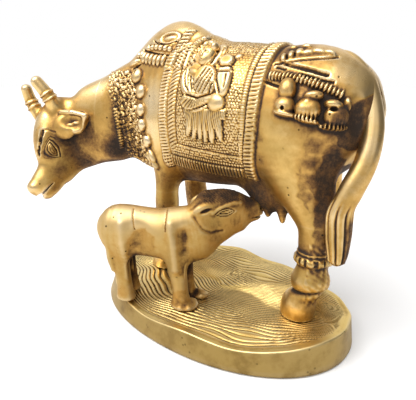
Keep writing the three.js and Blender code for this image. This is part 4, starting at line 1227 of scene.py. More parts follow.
class Tree:
    """Builds the nodes of a material or a world."""

    def __init__(self, owner: "bpy.types.Material | bpy.types.World") -> None:
        """Empties the owner's node tree."""
        self.owner = owner
        owner.use_nodes = True
        self.nodes, self.links = owner.node_tree.nodes, owner.node_tree.links
        self.nodes.clear()

    def node(
        self, kind: str, settings: dict[str, object], inputs: dict[object, object], output: "int | str" = 0
    ) -> Wire:
        """Adds a node.

        Args:
            kind: The node's type.
            settings: Properties that are set first.
            inputs: Values or wires by socket name or number.
            output: The output that is used.

        Returns:
            The output as a wire, or nothing but a zero for a node without outputs.
        """
        node = self.nodes.new(kind)
        for key, value in settings.items():
            setattr(node, key, value)
        for key, value in inputs.items():
            socket = node.inputs[key]
            if isinstance(value, Wire):
                self.links.new(value.value, socket)
            else:
                socket.default_value = value
        return Wire(self, node.outputs[output] if len(node.outputs) else 0.0)

    def finished(self, shader: Wire, kind: str = "ShaderNodeOutputMaterial") -> bpy.types.ID:
        """Links a shader to the output and hands the material or world over."""
        self.node(kind, {}, {"Surface": shader})
        return self.owner

    def place(self, output: str = "Object") -> Wire:
        """Coordinates on the object, or the direction looked in for a world."""
        return self.node("ShaderNodeTexCoord", {}, {}, output)

    def mark(self, name: str) -> Wire:
        """A number stored at the mesh's vertices."""
        return self.node("ShaderNodeAttribute", {"attribute_name": name}, {}, "Fac")

    def along(self, way: Wire, axis: Sequence[float]) -> Wire:
        """How far a direction points along an axis."""
        return self.node("ShaderNodeVectorMath", {"operation": "DOT_PRODUCT"}, {0: way, 1: axis}, "Value")

    def noise(self, place: Wire, scale: float, detail: float, rough: float) -> Wire:
        """Noise on object coordinates."""
        inputs = {"Vector": place, "Scale": scale, "Detail": detail, "Roughness": rough}
        return self.node("ShaderNodeTexNoise", {}, inputs)

    def mix(self, share: Wire, first: "Wire | Colour", second: "Wire | Colour") -> Wire:
        """A colour between two colours."""
        return self.node("ShaderNodeMix", {"data_type": "RGBA"}, {"Factor": share, 6: first, 7: second}, 2)


@dataclass(frozen=True)
class Brass:
    """Polished and patinated brass.

    Attributes:
        name: The material's name.
        bright: Colour of the rubbed metal.
        warm: Colour of the metal in shallow hollows, and of light painted shade.
        pale: Colour of the metal where hands have polished it, and of painted highlight.
        olive: Colour of its cloudy patches, and of the olive zones, which are partly painted shade.
        brown: Colour of the patina, and of painted shade.
        dark: Colour at the bottom of hollows, and of the deepest painted shade.
        gloss: Roughness of the rubbed metal.
        pits: Strength of the casting's pits.
    """

    name: str
    bright: Colour = (0.76, 0.49, 0.165, 1)
    warm: Colour = (0.54, 0.30, 0.078, 1)
    pale: Colour = (0.88, 0.73, 0.5, 1)
    olive: Colour = (0.42, 0.272, 0.078, 1)
    brown: Colour = (0.125, 0.05, 0.017, 1)
    dark: Colour = (0.014, 0.008, 0.005, 1)
    gloss: float = 0.3
    pits: float = 1.0

    def build(self) -> bpy.types.Material:
        """The material: patina settles in hollows and spots, painted shade darkens occluded and shaded
        places, and pale metal shows where it is rubbed and as painted highlight.
        """
        tree = Tree(bpy.data.materials.new(self.name))
        place = tree.place()
        hollow, painted_occlusion, stain_and_shade, wear_and_highlight, dull_and_shade = map(tree.mark, ("hollow", "painted_occlusion", "stain_and_shade", "wear_and_highlight", "dull_and_shade"))
        cloudy = tree.noise(place, 90, 4, 0.6)
        fine = tree.noise(place, 520, 4, 0.65)
        specks = tree.noise(place, 1500, 2, 0.6)
        low_ground = (hollow - 0.5) * 2.0
        # How far a point turns warm, brown and dark: patina in hollows and spots, and painted shade from
        # occlusion, undersides and outlines; wear and painted highlight take some back.
        settled = low_ground * (1.5 - stain_and_shade * 0.75) + painted_occlusion * 0.4 + stain_and_shade * 1.15
        settled = settled + (cloudy - 0.5) * 0.7 + (fine - 0.5) * 0.75 - wear_and_highlight * 0.35 + 0.08
        warm_share = settled.between(-0.05, 0.5) * 0.9
        brown_share = settled.between(0.4, 1.1)
        dark_share = (settled + (specks - 0.5) * 0.5).between(0.85, 1.4)
        cells = {"Vector": place, "Scale": 330.0}
        pit = tree.node("ShaderNodeTexVoronoi", {"feature": "F1"}, cells, "Distance")
        rare = tree.noise(place, 130, 1, 0.5)
        pit_share = (1 - pit.between(0.1, 0.22)) * rare.between(0.6, 0.66) * self.pits
        # Paler with wear and painted highlight.
        colour = tree.mix(wear_and_highlight * 0.75, self.bright, self.pale)
        # Raised parts paler: partly wear on high spots, partly painted highlight.
        raised = (0.5 - hollow).between(0.02, 0.2) * (0.6 - stain_and_shade * 0.4)
        colour = tree.mix(raised, colour, self.pale)
        colour = tree.mix(warm_share, colour, self.warm)
        # Olive from random clouds, and from the olive mark, which is partly painted shade.
        tint = cloudy.between(0.42, 0.7) * 0.35 * (1 - wear_and_highlight) + dull_and_shade * (1 - cloudy * 0.35)
        colour = tree.mix(tint.clamped(), colour, self.olive)
        colour = tree.mix(brown_share * 0.88, colour, self.brown)
        colour = tree.mix(dark_share * 0.92, colour, self.dark)
        colour = tree.mix(pit_share.clamped() * 0.9, colour, self.dark)
        rough = self.gloss - wear_and_highlight * 0.05 + dull_and_shade * 0.1 + warm_share * 0.08
        rough = rough + brown_share * 0.2 + dark_share * 0.2 + (fine - 0.5) * 0.16
        metal = 1 - brown_share * 0.3 - dark_share * 0.45
        height = fine * 0.25 + specks * 0.1 - pit_share * 1.0
        bump = tree.node("ShaderNodeBump", {}, {"Strength": 0.35, "Distance": 0.0002, "Height": height})
        skin = {"Base Color": colour, "Roughness": rough.clamped(), "Metallic": metal.clamped()}
        skin["Normal"] = bump
        return tree.finished(tree.node("ShaderNodeBsdfPrincipled", {}, skin))


@dataclass(frozen=True)
class Backdrop:
    """The plain pale floor's finish: a matt white with a faint grain.

    Attributes:
        name: The material's name.
        colour: Its white.
        shade: The grain's darkest tone.
    """

    name: str = "backdrop_white"
    colour: Colour = (0.93, 0.93, 0.93, 1)
    shade: Colour = (0.88, 0.88, 0.88, 1)

    def build(self) -> bpy.types.Material:
        """The material."""
        tree = Tree(bpy.data.materials.new(self.name))
        colour = tree.mix(tree.noise(tree.place(), 8, 2, 0.5) * 0.05, self.colour, self.shade)
        skin = {"Base Color": colour, "Roughness": 0.9}
        return tree.finished(tree.node("ShaderNodeBsdfPrincipled", {}, skin))


class Slot(Enum):
    """The record's material slots."""

    BASE = "base_brass"
    COW = "cow_brass"
    CALF = "calf_brass"


def install(obj: bpy.types.Object, node: str) -> None:
    """Makes a piece ride on the body and stand for its node."""
    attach(obj, BODY)
    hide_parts(node)


class Flank(Enum):
    """The cow's flanks: 1 for its left, which lies towards -Y, and -1 for its right."""

    LEFT = 1
    RIGHT = -1


@dataclass
class Cow:
    """The cow's casting: flanks with the hump and the carving, head, legs with the teats, and tail.

    Attributes:
        flank_pitch: Grid of the near flank.
        far_pitch: Grid of the far flank.
        head_pitch: Grid of the head.
        leg_pitch: Grid of the legs.
        overlap: How far neighbouring pieces run on under each other.
        neck_cut: Where the flanks end and the head's piece begins.
        leg_cut: Height where the flanks end and the legs' piece begins.
        shoulder_cut: Where the near flank is cut in two.
        cloth: The saddle cloth.
        anklets: Middle of each hind leg's anklet, seen from above.
        hind_from: Length past which a leg is a hind leg.
    """

    flank_pitch: float = 0.47
    far_pitch: float = 0.72
    head_pitch: float = 0.46
    leg_pitch: float = 0.56
    overlap: float = 1.2
    neck_cut: float = -76.0
    leg_cut: float = 57.0
    shoulder_cut: float = -24.2
    cloth: SaddleCloth = SaddleCloth()
    anklets: tuple[tuple[float, float], ...] = ((49.4, -1.0), (42.9, 24.0))
    hind_from: float = 30.0

    def body_field(self, low: Sequence[float], high: Sequence[float], pitch: float) -> Field:
        """The cow's whole field inside a box, held to 6 mm outside so that softening stays local."""
        field = Field(low, high, pitch)
        field.add((TRUNK, NECK, HUMP, *LEGS, UDDER, *TEATS, THROAT, SKULL_LIMB))
        np.minimum(field.values, 6.0, out=field.values)
        field.soften(4)
        box = np.array(low), np.array(high)
        one_side = [*garland(), *hump_ornament(), *rump_ornament(), *collar_knots()]
        bosses = [boss for each in one_side for boss in (each, each.mirrored()) if boss.is_near(*box)]
        field.add([field.seat(boss) for boss in bosses])
        for boss in HOLLOWS:
            if boss.is_near(*box):
                field.add_lump(field.seat(boss))
        return field

    def flank(self, side: Flank, finish: bpy.types.Material) -> list[bpy.types.Object]:
        """One flank from the neck to the rump, with its carving.

        Args:
            side: Which flank.
            finish: The brass.

        Returns:
            The flank's objects: the near one is cut in two behind the shoulder.
        """
        near = side is Flank.LEFT
        y_low, y_high = (-21, COW_Y + 3) if near else (COW_Y - 3, 44)
        low, high = (self.neck_cut - 3, y_low, self.leg_cut - 4), (68, y_high, 144)
        field = self.body_field(low, high, self.flank_pitch if near else self.far_pitch)
        cut = field.keep(side.value * SIDE, side.value * COW_Y + self.overlap)
        cut = cut.keep(-AHEAD, -self.neck_cut + self.overlap).keep(-UP, -self.leg_cut + self.overlap)
        parts = ((1, "cow_left_shoulder"), (-1, "cow_left_flank")) if near else ((0, "cow_right_flank"),)
        return [self.carve(cut, field, side, way, name, finish) for way, name in parts]

    def carve(
        self, cut: Field, field: Field, side: Flank, way: int, name: str, finish: bpy.types.Material
    ) -> bpy.types.Object:
        """Draws and carves a part of a flank.

        Args:
            cut: The flank's field, cut off where it meets the neck, the legs and the other flank.
            field: The same field uncut.
            side: Which flank.
            way: 1 for the part in front of the shoulder cut, -1 for the part behind it, 0 for both.
            name: The piece's name.
            finish: The brass.

        Returns:
            The part's object.
        """
        part = cut.keep(way * AHEAD, way * self.shoulder_cut + self.overlap) if way else cut
        skin = Skin.on(part)
        x, y, z = skin.points.T
        u, v, outside = flank_coordinates(skin.points)
        on_trunk = 1 - step_up(outside, 2.0, 1.4)
        normal = unit(field.slope(skin.points))
        relief = on_trunk * self.cloth.height(u, v) + collar_height(skin.points)
        relief = relief + hump_height(skin.points, normal)
        relief = relief + carved_lines(skin.points, RUMP_CUTS) * step_up(np.abs(normal[:, 1]), 0.35, 0.2)
        edge = np.minimum(side.value * (COW_Y - y), np.minimum(x - self.neck_cut, z - self.leg_cut))
        if way:
            edge = np.minimum(edge, way * (self.shoulder_cut - x))
        edge = edge + self.overlap
        relief = relief * step_up(edge, 0.55, 0.5)
        # Painted shade on the outlined planes goes in as dark.
        finish_skin(skin, field, relief, COW_STAINS_AND_SHADE, self.shade(skin.points, normal), edge)
        return skin.to_object(name, finish)

    def shade(self, points: Array, normal: Array) -> Array:
        """The painted shade on the planes behind the near thigh's ridge and down the back of the leg."""
        facing = step_up(-normal[:, 1] + 0.8 * normal[:, 0], 0.0, 0.4) * (points[:, 1] < COW_Y)
        return shaded(points, points[:, 0], SHADES) * facing

    def head(self, finish: bpy.types.Material) -> bpy.types.Object:
        """The head, horns, ears and throat."""
        field = self.body_field((-126, -44, 40), (self.neck_cut + 3, 16, 132), self.head_pitch)
        field.add([*HORNS, *self.head_lumps()])
        cut = field.keep(AHEAD, self.neck_cut + self.overlap)
        skin = Skin.on(cut)
        edge = self.neck_cut + self.overlap - skin.points[:, 0]
        relief = (self.head_relief(skin.points) + collar_height(skin.points)) * step_up(edge, 0.55, 0.5)
        finish_skin(skin, field, relief, COW_STAINS_AND_SHADE, 0.0, edge)
        return skin.to_object("cow_head", finish)

    def head_lumps(self) -> list[Lump]:
        """Muzzle, lower lip, mouth slit, eyeballs, brows, horn rings, the dents round the eyes, and ears."""
        slit = unit(vec(0, 3.0, 6.3)) @ HEAD_AXES
        across = np.stack([LEFT, slit, np.cross(LEFT, slit)])
        lumps = [
            Lump(on_head(0, 4.2, 47.2), (5.2, 3.8, 3.6), HEAD_AXES, 2.0),
            Lump(on_head(0, -5.6, 44.2), (5.4, 6.6, 3.4), across, 1.2),
            Lump(on_head(0, -1.7, 46.4), (11, 6.8, 0.48), across, 0.25, True),
            Lump(on_head(0, -0.2, 51.2), (9, 1.7, 1.9), across, 0.8, True),
        ]
        for side in (1, -1):
            rows = (
                ((8.2 * side, 3, 24), (2.4, 3, 3.6), 1.4, False),
                ((6.4 * side, 7.4, 19.5), (2.8, 2.6, 6.5), 2.4, False),
            )
            lumps += lumps_at(SKULL, HEAD_AXES, rows)
        rings = ((1.66, 0.7), (2.02, 0.85))
        lumps += [ring(horn, at, 1.1, grow, 0.5) for horn in HORNS for at, grow in rings]
        dents = (
            ((8.3, 10.6, 17.4), (1, 2, 2.2), 0.5, True), ((8, 10, 21.2), (1, 1.8, 2.6), 0.5, True),
            ((6.8, 9.3, 25), (1, 1.6, 2.4), 0.5, True), ((4.6, 8.6, 28.2), (1.1, 1.5, 1.8), 0.5, True),
        )
        lumps += lumps_at(SKULL, HEAD_AXES, dents)
        lumps += self.ear(1, (12.4, 4.2, 3.0), (23.6, -7.0, 2.4), (18.0, -5.2, 11.2), (11.0, 4.0, 17.6))
        return lumps + self.ear(-1, (9.4, 3.2, 4.0), (19.0, -8.6, 1.0), (14.5, -7.0, 10.0), (9.4, 1.6, 17.0))

    def ear(self, side: int, root: Station, tip: Station, low: Station, under: Station) -> list[Lump]:
        """One ear: a thick leaf through four corners, dished towards the outside.

        Args:
            side: 1 for the left ear, -1 for the right.
            root: Where the upper edge leaves the head, as left, brow and face.
            tip: The point.
            low: The outer edge's lower end.
            under: Where the lower edge meets the head.

        Returns:
            The leaf's lumps and its hollow.
        """
        corners = np.array([on_head(side * a, b, c) for a, b, c in (root, tip, low, under)])
        along = unit(corners[1] - corners[0] + corners[2] - corners[3])
        down = square_to(corners[3] - corners[0] + corners[2] - corners[1], along)
        out = np.cross(along, down)
        out = out * np.sign(out @ LEFT) * side
        axes, middle = np.stack([along, down, out]), corners.mean(axis=0)
        start, point, lobe, _ = corners
        upper = [start, 0.5 * (start + point) + 0.9 * out - 0.5 * down, point]
        outer = [point, 0.5 * (point + lobe) + 0.4 * out + 0.6 * along, lobe + 0.3 * out]
        rim = [
            Lump(a + (b - a) * t, (1.2, 1.2, 1.2), blend=1.1)
            for path in (upper, outer) for a, b in zip(path[:-1], path[1:]) for t in np.linspace(0, 1, 7)
        ]
        leaf = (
            ((-3.5, 1, -1.6), (7.5, 7.2, 3.4), 1.2, False),
            ((2.6, -2, -1.2), (8.6, 5.2, 2.6), 1, False),
            ((4.2, 1, -1.1), (4.8, 4.6, 2.4), 1, False),
        )
        dish = (
            ((3, -0.9, 2), (6, 3.3, 2.3), 1.3, True), ((5.4, 1.2, 1.9), (3.2, 2.8, 1.9), 1, True),
            ((1, 0.6, -0.2), (2.2, 1, 1), 0.5, False), ((4, -0.4, -0.3), (2, 0.8, 0.9), 0.5, False),
        )
        return [*lumps_at(middle, axes, leaf), *rim, *lumps_at(middle, axes, dish)]

    def head_relief(self, points: Array) -> Array:
        """Almond lids round the eyes, and the deep crease between forehead and brow.

        An almond's value is the distance across it over its half width, plus the squared distance along it
        over its half length.
        """
        left, brow, face = ((points - SKULL) @ HEAD_AXES.T).T
        side = np.abs(left)
        on_side = step_up(side, 5.5, 2)
        long = (face - 24.6) * 0.669 - (brow - 2.6) * 0.743
        short = (face - 24.6) * 0.743 + (brow - 2.6) * 0.669
        almond = np.abs(short + 0.07 * long**2) / 2.2 + (long / 4.3) ** 2 + 0.07 * waves(points, 3.0, 17)
        above = 0.45 + 0.55 * step_up(-short, -0.6, 1.6)
        lids = 0.35 * (1 - step_up(almond, 0.8, 0.9)) - 0.6 * band(almond, 0.86, 1.04, 0.3)
        lids = lids - 0.35 * band(almond, 0.26, 0.4, 0.25)
        lids = lids + 0.35 * band(almond, 1.1, 1.5, 0.4) * above - 0.5 * band(almond, 1.62, 1.84, 0.4) * above
        lids = lids - 0.35 * band(almond, 2.5, 2.7, 0.5) * above * step_up(brow, 2.5, 2)
        line = [(15.8, 7.6), (18.6, 7.8), (22.8, 7.6), (26.5, 5.6), (29.2, 3.4)]
        crease = -0.9 * cord(face, side, line, 0.9) * step_up(brow, 5, 2)
        ruffle = -0.25 * cord(face, brow, [(15.6, 10), (14.4, 7.5), (14.6, 4)], 0.6) * on_side
        return lids * on_side + crease + ruffle

    def legs(self, finish: bpy.types.Material) -> bpy.types.Object:
        """The four legs below the body, with anklets, fetlocks, hooves and the teats."""
        field = self.body_field((-52, -14, SOLE - 3), (66, 38, self.leg_cut + 4), self.leg_pitch)
        for x, y in self.anklets:
            field.add_lump(Lump(vec(x, y, 41.2), (8.0, 7.6, 3.7), blend=0.5))
            field.add_lump(Lump(vec(x, y, 44.4), (6.9, 6.5, 1.0), blend=0.4))
        cut = field.keep(UP, self.leg_cut + self.overlap).keep(-UP, -SOLE)
        skin = Skin.on(cut)
        x, y, z = skin.points.T
        (near_x, near_y), (far_x, far_y) = self.anklets
        near, hind = y < COW_Y, (x > self.hind_from) * 1.0
        turn = np.arctan2(y - np.where(near, near_y, far_y), x - np.where(near, near_x, far_x))
        slots = step_up(ribs(turn + 0.12 * np.sin(3 * turn), 2 * np.pi / 13), 0.72, 0.3)
        crease = z - 25.6 - 0.12 * (x - 45)
        relief = -0.95 * slots * band(z, 39.4, 42.8, 0.7) * hind
        fetlock = 0.9 * np.exp(-(((z - 31) / 3.6) ** 2)) - 1.3 * np.exp(-((crease / 1.4) ** 2))
        relief = relief + hind * fetlock
        relief = relief + 0.16 * waves(skin.points, 2.3, 11) * (x > 50) * band(z, 20, 50, 3)
        # Painted shade on the outlined planes down the near hind leg.
        dark = self.shade(skin.points, unit(field.slope(skin.points)))
        finish_skin(skin, field, relief, COW_STAINS_AND_SHADE, dark, self.leg_cut + self.overlap - z)
        return skin.to_object("cow_legs", finish)

    def tail(self, finish: bpy.types.Material) -> bpy.types.Object:
        """The tail: a round profile carried along its path, grooved into locks at the tuft."""
        stations = [
            (42, COW_Y, 121.5, 3.4, 3.4), (51, COW_Y, 121, 4, 3.8), (58.5, 10, 114.5, 4.4, 4.2),
            (63, 8, 106, 4.6, 4.4), (66, 5, 96, 4.6, 4.4), (66.2, 1, 85, 4.7, 4.4), (63.2, -3, 74, 5, 4.6),
            (60.6, -4.6, 65.5, 4.7, 4.5), (60.7, -4.6, 56, 4.5, 4.3), (61, -4.3, 48, 3.6, 3.5),
            (60.8, -4.4, 42.5, 2.5, 2.4),
        ]
        limb = Limb(SIDE, stations, per_span=24)
        centre, _, side, top, size = limb.samples()
        rows, around = len(centre), 80
        angle = np.linspace(0, 2 * np.pi, around, endpoint=False)
        run = np.linspace(0, len(stations) - 1, rows)[:, None]
        locks = 1.0 * step_up(run, 6.8, 1.0) * (1 - (0.5 - 0.5 * np.cos(8 * angle[None, :] + 0.5 * run)) ** 5)
        share = np.linspace(0, 1, rows)[:, None]
        reach = np.sin(np.clip(share * 14, 0, 1) * np.pi / 2) * np.sqrt(np.clip((1.002 - share) * 22, 0, 1))
        wide, tall = ((column[:, None] + locks - 0.4) * reach for column in size.T)
        sideways = side[:, None] * (wide * np.sin(angle))[..., None]
        skin = tube_skin(centre[:, None] + sideways + top[:, None] * (tall * np.cos(angle))[..., None])
        skin.marks["hollow"] = np.clip(0.5 + 1.9 * skin.hollows(), 0, 1)
        # Painted shade: a light, even occlusion over the whole tail.
        skin.marks["painted_occlusion"] = np.full(len(skin.points), 0.15)
        x, y, z = skin.points.T
        # Darker at the tuft and further down the tail, over the cow's patina and painted shade spots.
        tuft = step_up(-z, -63, 8) * step_up(x + 0.8 * y, 58.6, 2.5)
        tail_darkening = 0.85 * tuft + 0.35 * step_up(x - 0.4 * z, 32, 8)
        skin.marks["stain_and_shade"] = np.maximum(0.4 * spot_strength(skin.points, COW_STAINS_AND_SHADE), tail_darkening)
        skin.marks["wear_and_highlight"] = wear_and_highlight_at(skin.points, skin.normals(), WEAR_AND_HIGHLIGHT_SPOTS)
        skin.marks["dull_and_shade"] = spot_strength(skin.points, DULL_AND_SHADE_SPOTS)
        return skin.to_object("cow_tail", finish)

    def figure_head(self, finish: bpy.types.Material) -> bpy.types.Object:
        """The seated figure's head, calm with closed eyes, its features at the usual shares of its height.

        Across, up and out are shares of the half sizes. The eyes are at half the height, the nose ends a
        quarter above the chin, and the mouth is a third of the way from nose to chin.
        """
        middle, axes = on_flank(-5.3, 15.8, 1.6, -10)
        half = vec(3.9, 5.2, 3.0)
        spots = [
            ((0, 0, 0), (1, 1, 1), 0.5, False), ((0.4, 0.08, 0.98), (0.3, 0.17, 0.2), 0.3, True),
            ((-0.4, 0.08, 0.98), (0.3, 0.17, 0.2), 0.3, True),
            ((0.38, 0, 0.86), (0.2, 0.085, 0.14), 0.1, False),
            ((-0.38, 0, 0.86), (0.2, 0.085, 0.14), 0.1, False),
            ((0, -0.1, 0.98), (0.1, 0.34, 0.16), 0.3, False),
            ((0, -0.38, 0.98), (0.16, 0.1, 0.2), 0.2, False),
            ((0, -0.63, 0.74), (0.22, 0.05, 0.2), 0.1, False),
            ((0, -0.73, 0.66), (0.16, 0.05, 0.2), 0.1, False),
            ((0, -0.68, 0.80), (0.24, 0.022, 0.14), 0.1, True),
            ((0, 0.98, 0.35), (0.8, 0.3, 0.8), 0.3, False), ((0.62, 0.8, 0.3), (0.4, 0.4, 0.8), 0.3, False),
            ((-0.62, 0.8, 0.3), (0.4, 0.4, 0.8), 0.3, False),
        ]
        field = Field(middle - 8, middle + 8, 0.17)
        field.add(lumps_at(middle, axes, spots, half))
        skin = Skin.on(field)
        finish_skin(skin, field, np.zeros(len(skin.points)), COW_STAINS_AND_SHADE)
        skin.marks["hollow"] = np.clip(0.42 + 4.0 * skin.hollows((3, 8)), 0.0, 1.0)
        return skin.to_object("cow_figure_head", finish)

    def build(self, finish: bpy.types.Material) -> list[bpy.types.Object]:
        """All of the cow's pieces."""
        pieces = [*self.flank(Flank.LEFT, finish), *self.flank(Flank.RIGHT, finish)]
        pieces += [part(finish) for part in (self.head, self.legs, self.tail, self.figure_head)]
        for piece in pieces:
            install(piece, "cow")
        return pieces


def tube_skin(points: Array) -> Skin:
    """A closed tube from rings of points.

    Args:
        points: Rings by points round each ring by 3, the first and last ring drawn in to a point.

    Returns:
        The tube, with its end rings merged to one vertex each as fans of quads.
    """
    body = points[1:-1].reshape(-1, 3)
    every = np.vstack([body, points[0].mean(axis=0), points[-1].mean(axis=0)])
    index = np.arange(len(body)).reshape(-1, points.shape[1])
    index = np.hstack([index, index[:, :2]])
    low, high = index[:-1], index[1:]
    quads = np.stack([low[:, :-2], low[:, 1:-1], high[:, 1:-1], high[:, :-2]], axis=-1).reshape(-1, 4)
    here, next_one, after = index[:, :-2:2], index[:, 1:-1:2], index[:, 2::2]
    poles = np.full_like(here[0], len(body))
    start = np.stack([poles, after[0], next_one[0], here[0]], axis=1)
    end = np.stack([poles + 1, here[-1], next_one[-1], after[-1]], axis=1)
    quads = np.vstack([quads, start, end])
    a, b, c, d = every[quads].transpose(1, 0, 2)
    volume = (a * np.cross(b, c)).sum() + (a * np.cross(c, d)).sum()
    return Skin(every, quads if volume > 0 else quads[:, ::-1])


@dataclass
class Calf:
    """The calf's casting.

    Attributes:
        pitch: Its grid.
    """

    pitch: float = 0.5

    def leg(self, x: float, y: float, thigh: float) -> Limb:
        """A leg down from a thigh of a given half height."""
        rows = [
            (x - 1, y, 43, 5, thigh), (x - 1, y - 0.5, 32, 4, 5.2), (x, y, 22, 3.4, 4),
            (x + 0.6, y, 16, 3.6, 4.3), (x + 1, y, 11, 4.3, 5.2), (x + 1.2, y, 7, 4.4, 5.4),
        ]
        return Limb(AHEAD, rows, blend=3)

    def limbs(self) -> list[Limb]:
        """Barrel, throat, head, legs and tail."""
        barrel = [
            (-36, -40, 47, 6, 8), (-31, -37.5, 46.5, 9, 12), (-18, -30, 45.5, 9.5, 11.8),
            (-6, -24, 45, 9.5, 12.5), (2, -19, 46, 7.5, 11),
        ]
        throat = [
            (-4, -23, 45, 7, 11.5), (3, -16.5, 48.5, 6, 11), (9, -10.5, 52, 5, 9.5), (14, -5, 53.5, 4, 7.5),
        ]
        face = [
            (3, -14, 57.5, 6.5, 8.5), (9, -8, 57.5, 7, 8.6),
            (15, -2, 56, 5.4, 6.6), (18.6, 1.4, 55.8, 4.6, 5.2),
        ]
        tail = [
            (-32, -40, 55, 1.8, 1.8), (-31.5, -43, 49, 1.8, 1.8), (-32, -43.4, 42, 1.6, 1.6),
            (-32, -43, 34, 2.2, 2.2), (-31.6, -42.6, 27, 1.2, 1.2),
        ]
        legs = ((-2.5, -28, 7), (-7, -18.5, 7), (-29, -39, 8), (-34, -31, 8))
        trunk = [Limb(UP, barrel, blend=4), Limb(UP, throat, blend=5), Limb(UP, face, blend=4)]
        return [*trunk, *(self.leg(*row) for row in legs), Limb(AHEAD, tail, blend=1.2)]

    def lumps(self) -> list[Lump]:
        """Ears, eyes, nostrils, mouth, and the braze at the near front hooves."""
        ahead, beside = unit(vec(0.7, 0.7, 0)), unit(vec(0.7, -0.7, 0))
        axes = np.stack([ahead, beside, UP])
        lumps = []
        rising = unit(ahead + 0.35 * UP)
        tilted = np.stack([rising, beside, np.cross(rising, beside)])
        for side in (1, -1):
            root = vec(0.4, -14.6, 58.6) + beside * 7.4 * side
            lumps.append(Lump(root, (5.2, 1.9, 3.0), tilted, 0.8))
            lumps.append(Lump(root + beside * 1.9 * side + ahead * 0.6, (3.1, 1.2, 1.0), tilted, 0.5, True))
            lumps.append(Lump(vec(10.6, -8.0, 58.0) + beside * 5.0 * side, (3.2, 1.6, 1.6), axes, 0.6))
            lumps.append(Lump(vec(20.4, 2.6, 57.2) + beside * 2.4 * side, (0.9, 0.9, 0.8), axes, 0.4, True))
        return lumps + [
            Lump(vec(20.5, 3.2, 53.4), (4.5, 6, 0.6), axes, 0.5, True),
            Lump(vec(-0.6, -26.6, 12.2), (6.4, 6.0, 2.0), blend=1.5),
            Lump(vec(-0.4, -16.0, 12.6), (4.6, 3.4, 2.0), blend=1.0),
        ]

    def relief(self, points: Array, normal: Array) -> Array:
        """Lids, cheek groove, the flat ridges down the legs with hollows behind them, and fine cracks.

        The near side's carving is seen along a level line: its first coordinate runs ahead, its second up.
        """
        near = step_up(-normal[:, 1], 0.15, 0.3)
        s, z = along_level(points), points[:, 2]
        offset = points - vec(13.4, -14.4, 57.6)
        long, short = offset @ unit(vec(3.1, 4.5, 0.9)), offset[:, 2]
        almond = np.abs(short - 0.15 * long) / 1.7 + (long / 4.4) ** 2
        lids = -0.45 * band(almond, 0.84, 1.1, 0.3) - 0.5 * band(almond, 0.3, 0.5, 0.25)
        lids = lids + 0.3 * band(almond, 0.55, 0.8, 0.25)
        lids = lids * (np.abs(offset @ unit(vec(0.8, -0.58, 0.13))) < 4)
        ridges = 1.1 * swell(s, z, [(-22.8, 53), (-21.6, 45), (-20.6, 32)], 2.0)
        ridges = ridges + 1.0 * swell(s, z, [(-45.2, 52), (-45.2, 43), (-43.6, 25)], 2.2)
        dips = -2.1 * swell(s, z, [(-16.4, 50), (-16.2, 41)], 3.0)
        dips = dips - 2.0 * swell(s, z, [(-37.6, 49), (-38.6, 42)], 3.8)
        for outline, _ in CALF_SHADES[:2]:
            dips = dips - 0.6 * inside(s, z, outline, 6.0)
        cheek = -0.4 * swell(s, z, [(-12.2, 56), (-8.6, 51.2), (-4.6, 48.8), (0.5, 48.8)], 0.8)
        cracks = -0.4 * cord(s, z, [(-39.9, 58), (-39.4, 50)], 0.35)
        cracks = cracks - 0.4 * cord(s, z, [(-24.4, 58), (-24.9, 50)], 0.35)
        cap = -0.13 * ribs(long + 0.7 * short + 0.9 * np.sin(short), 1.35, 2.0)
        cap = cap * band(z, 62.0, 70.0, 1.5) * (s > -8)
        cap = cap + 0.22 * waves(points, 4.5, 31) * (1 - step_up(z, 17.0, 4)) * (s > -30)
        brow = 0.6 * swell(s, z, [(-3.9, 57.4), (-1.3, 59.2), (1.8, 60.6), (5.3, 61.4), (8.7, 61.2)], 0.8)
        return near * (ridges + dips + cheek + cracks + lids + brow) + cap

    def build(self, finish: bpy.types.Material) -> list[bpy.types.Object]:
        """The calf's one piece."""
        field = Field((-46, -52, SOLE - 3), (28, 10, 72), self.pitch)
        field.add([*self.limbs(), *self.lumps()])
        cut = field.keep(-UP, -SOLE)
        skin = Skin.on(cut)
        normal = unit(field.slope(skin.points))
        # Painted shade in the outlined dips on the calf's near side.
        dark = shaded(skin.points, along_level(skin.points), CALF_SHADES) * step_up(-normal[:, 1], 0.1, 0.3)
        finish_skin(skin, field, self.relief(skin.points, normal), CALF_STAINS_AND_SHADE, dark)
        piece = skin.to_object("calf_casting", finish)
        install(piece, "calf")
        return [piece]


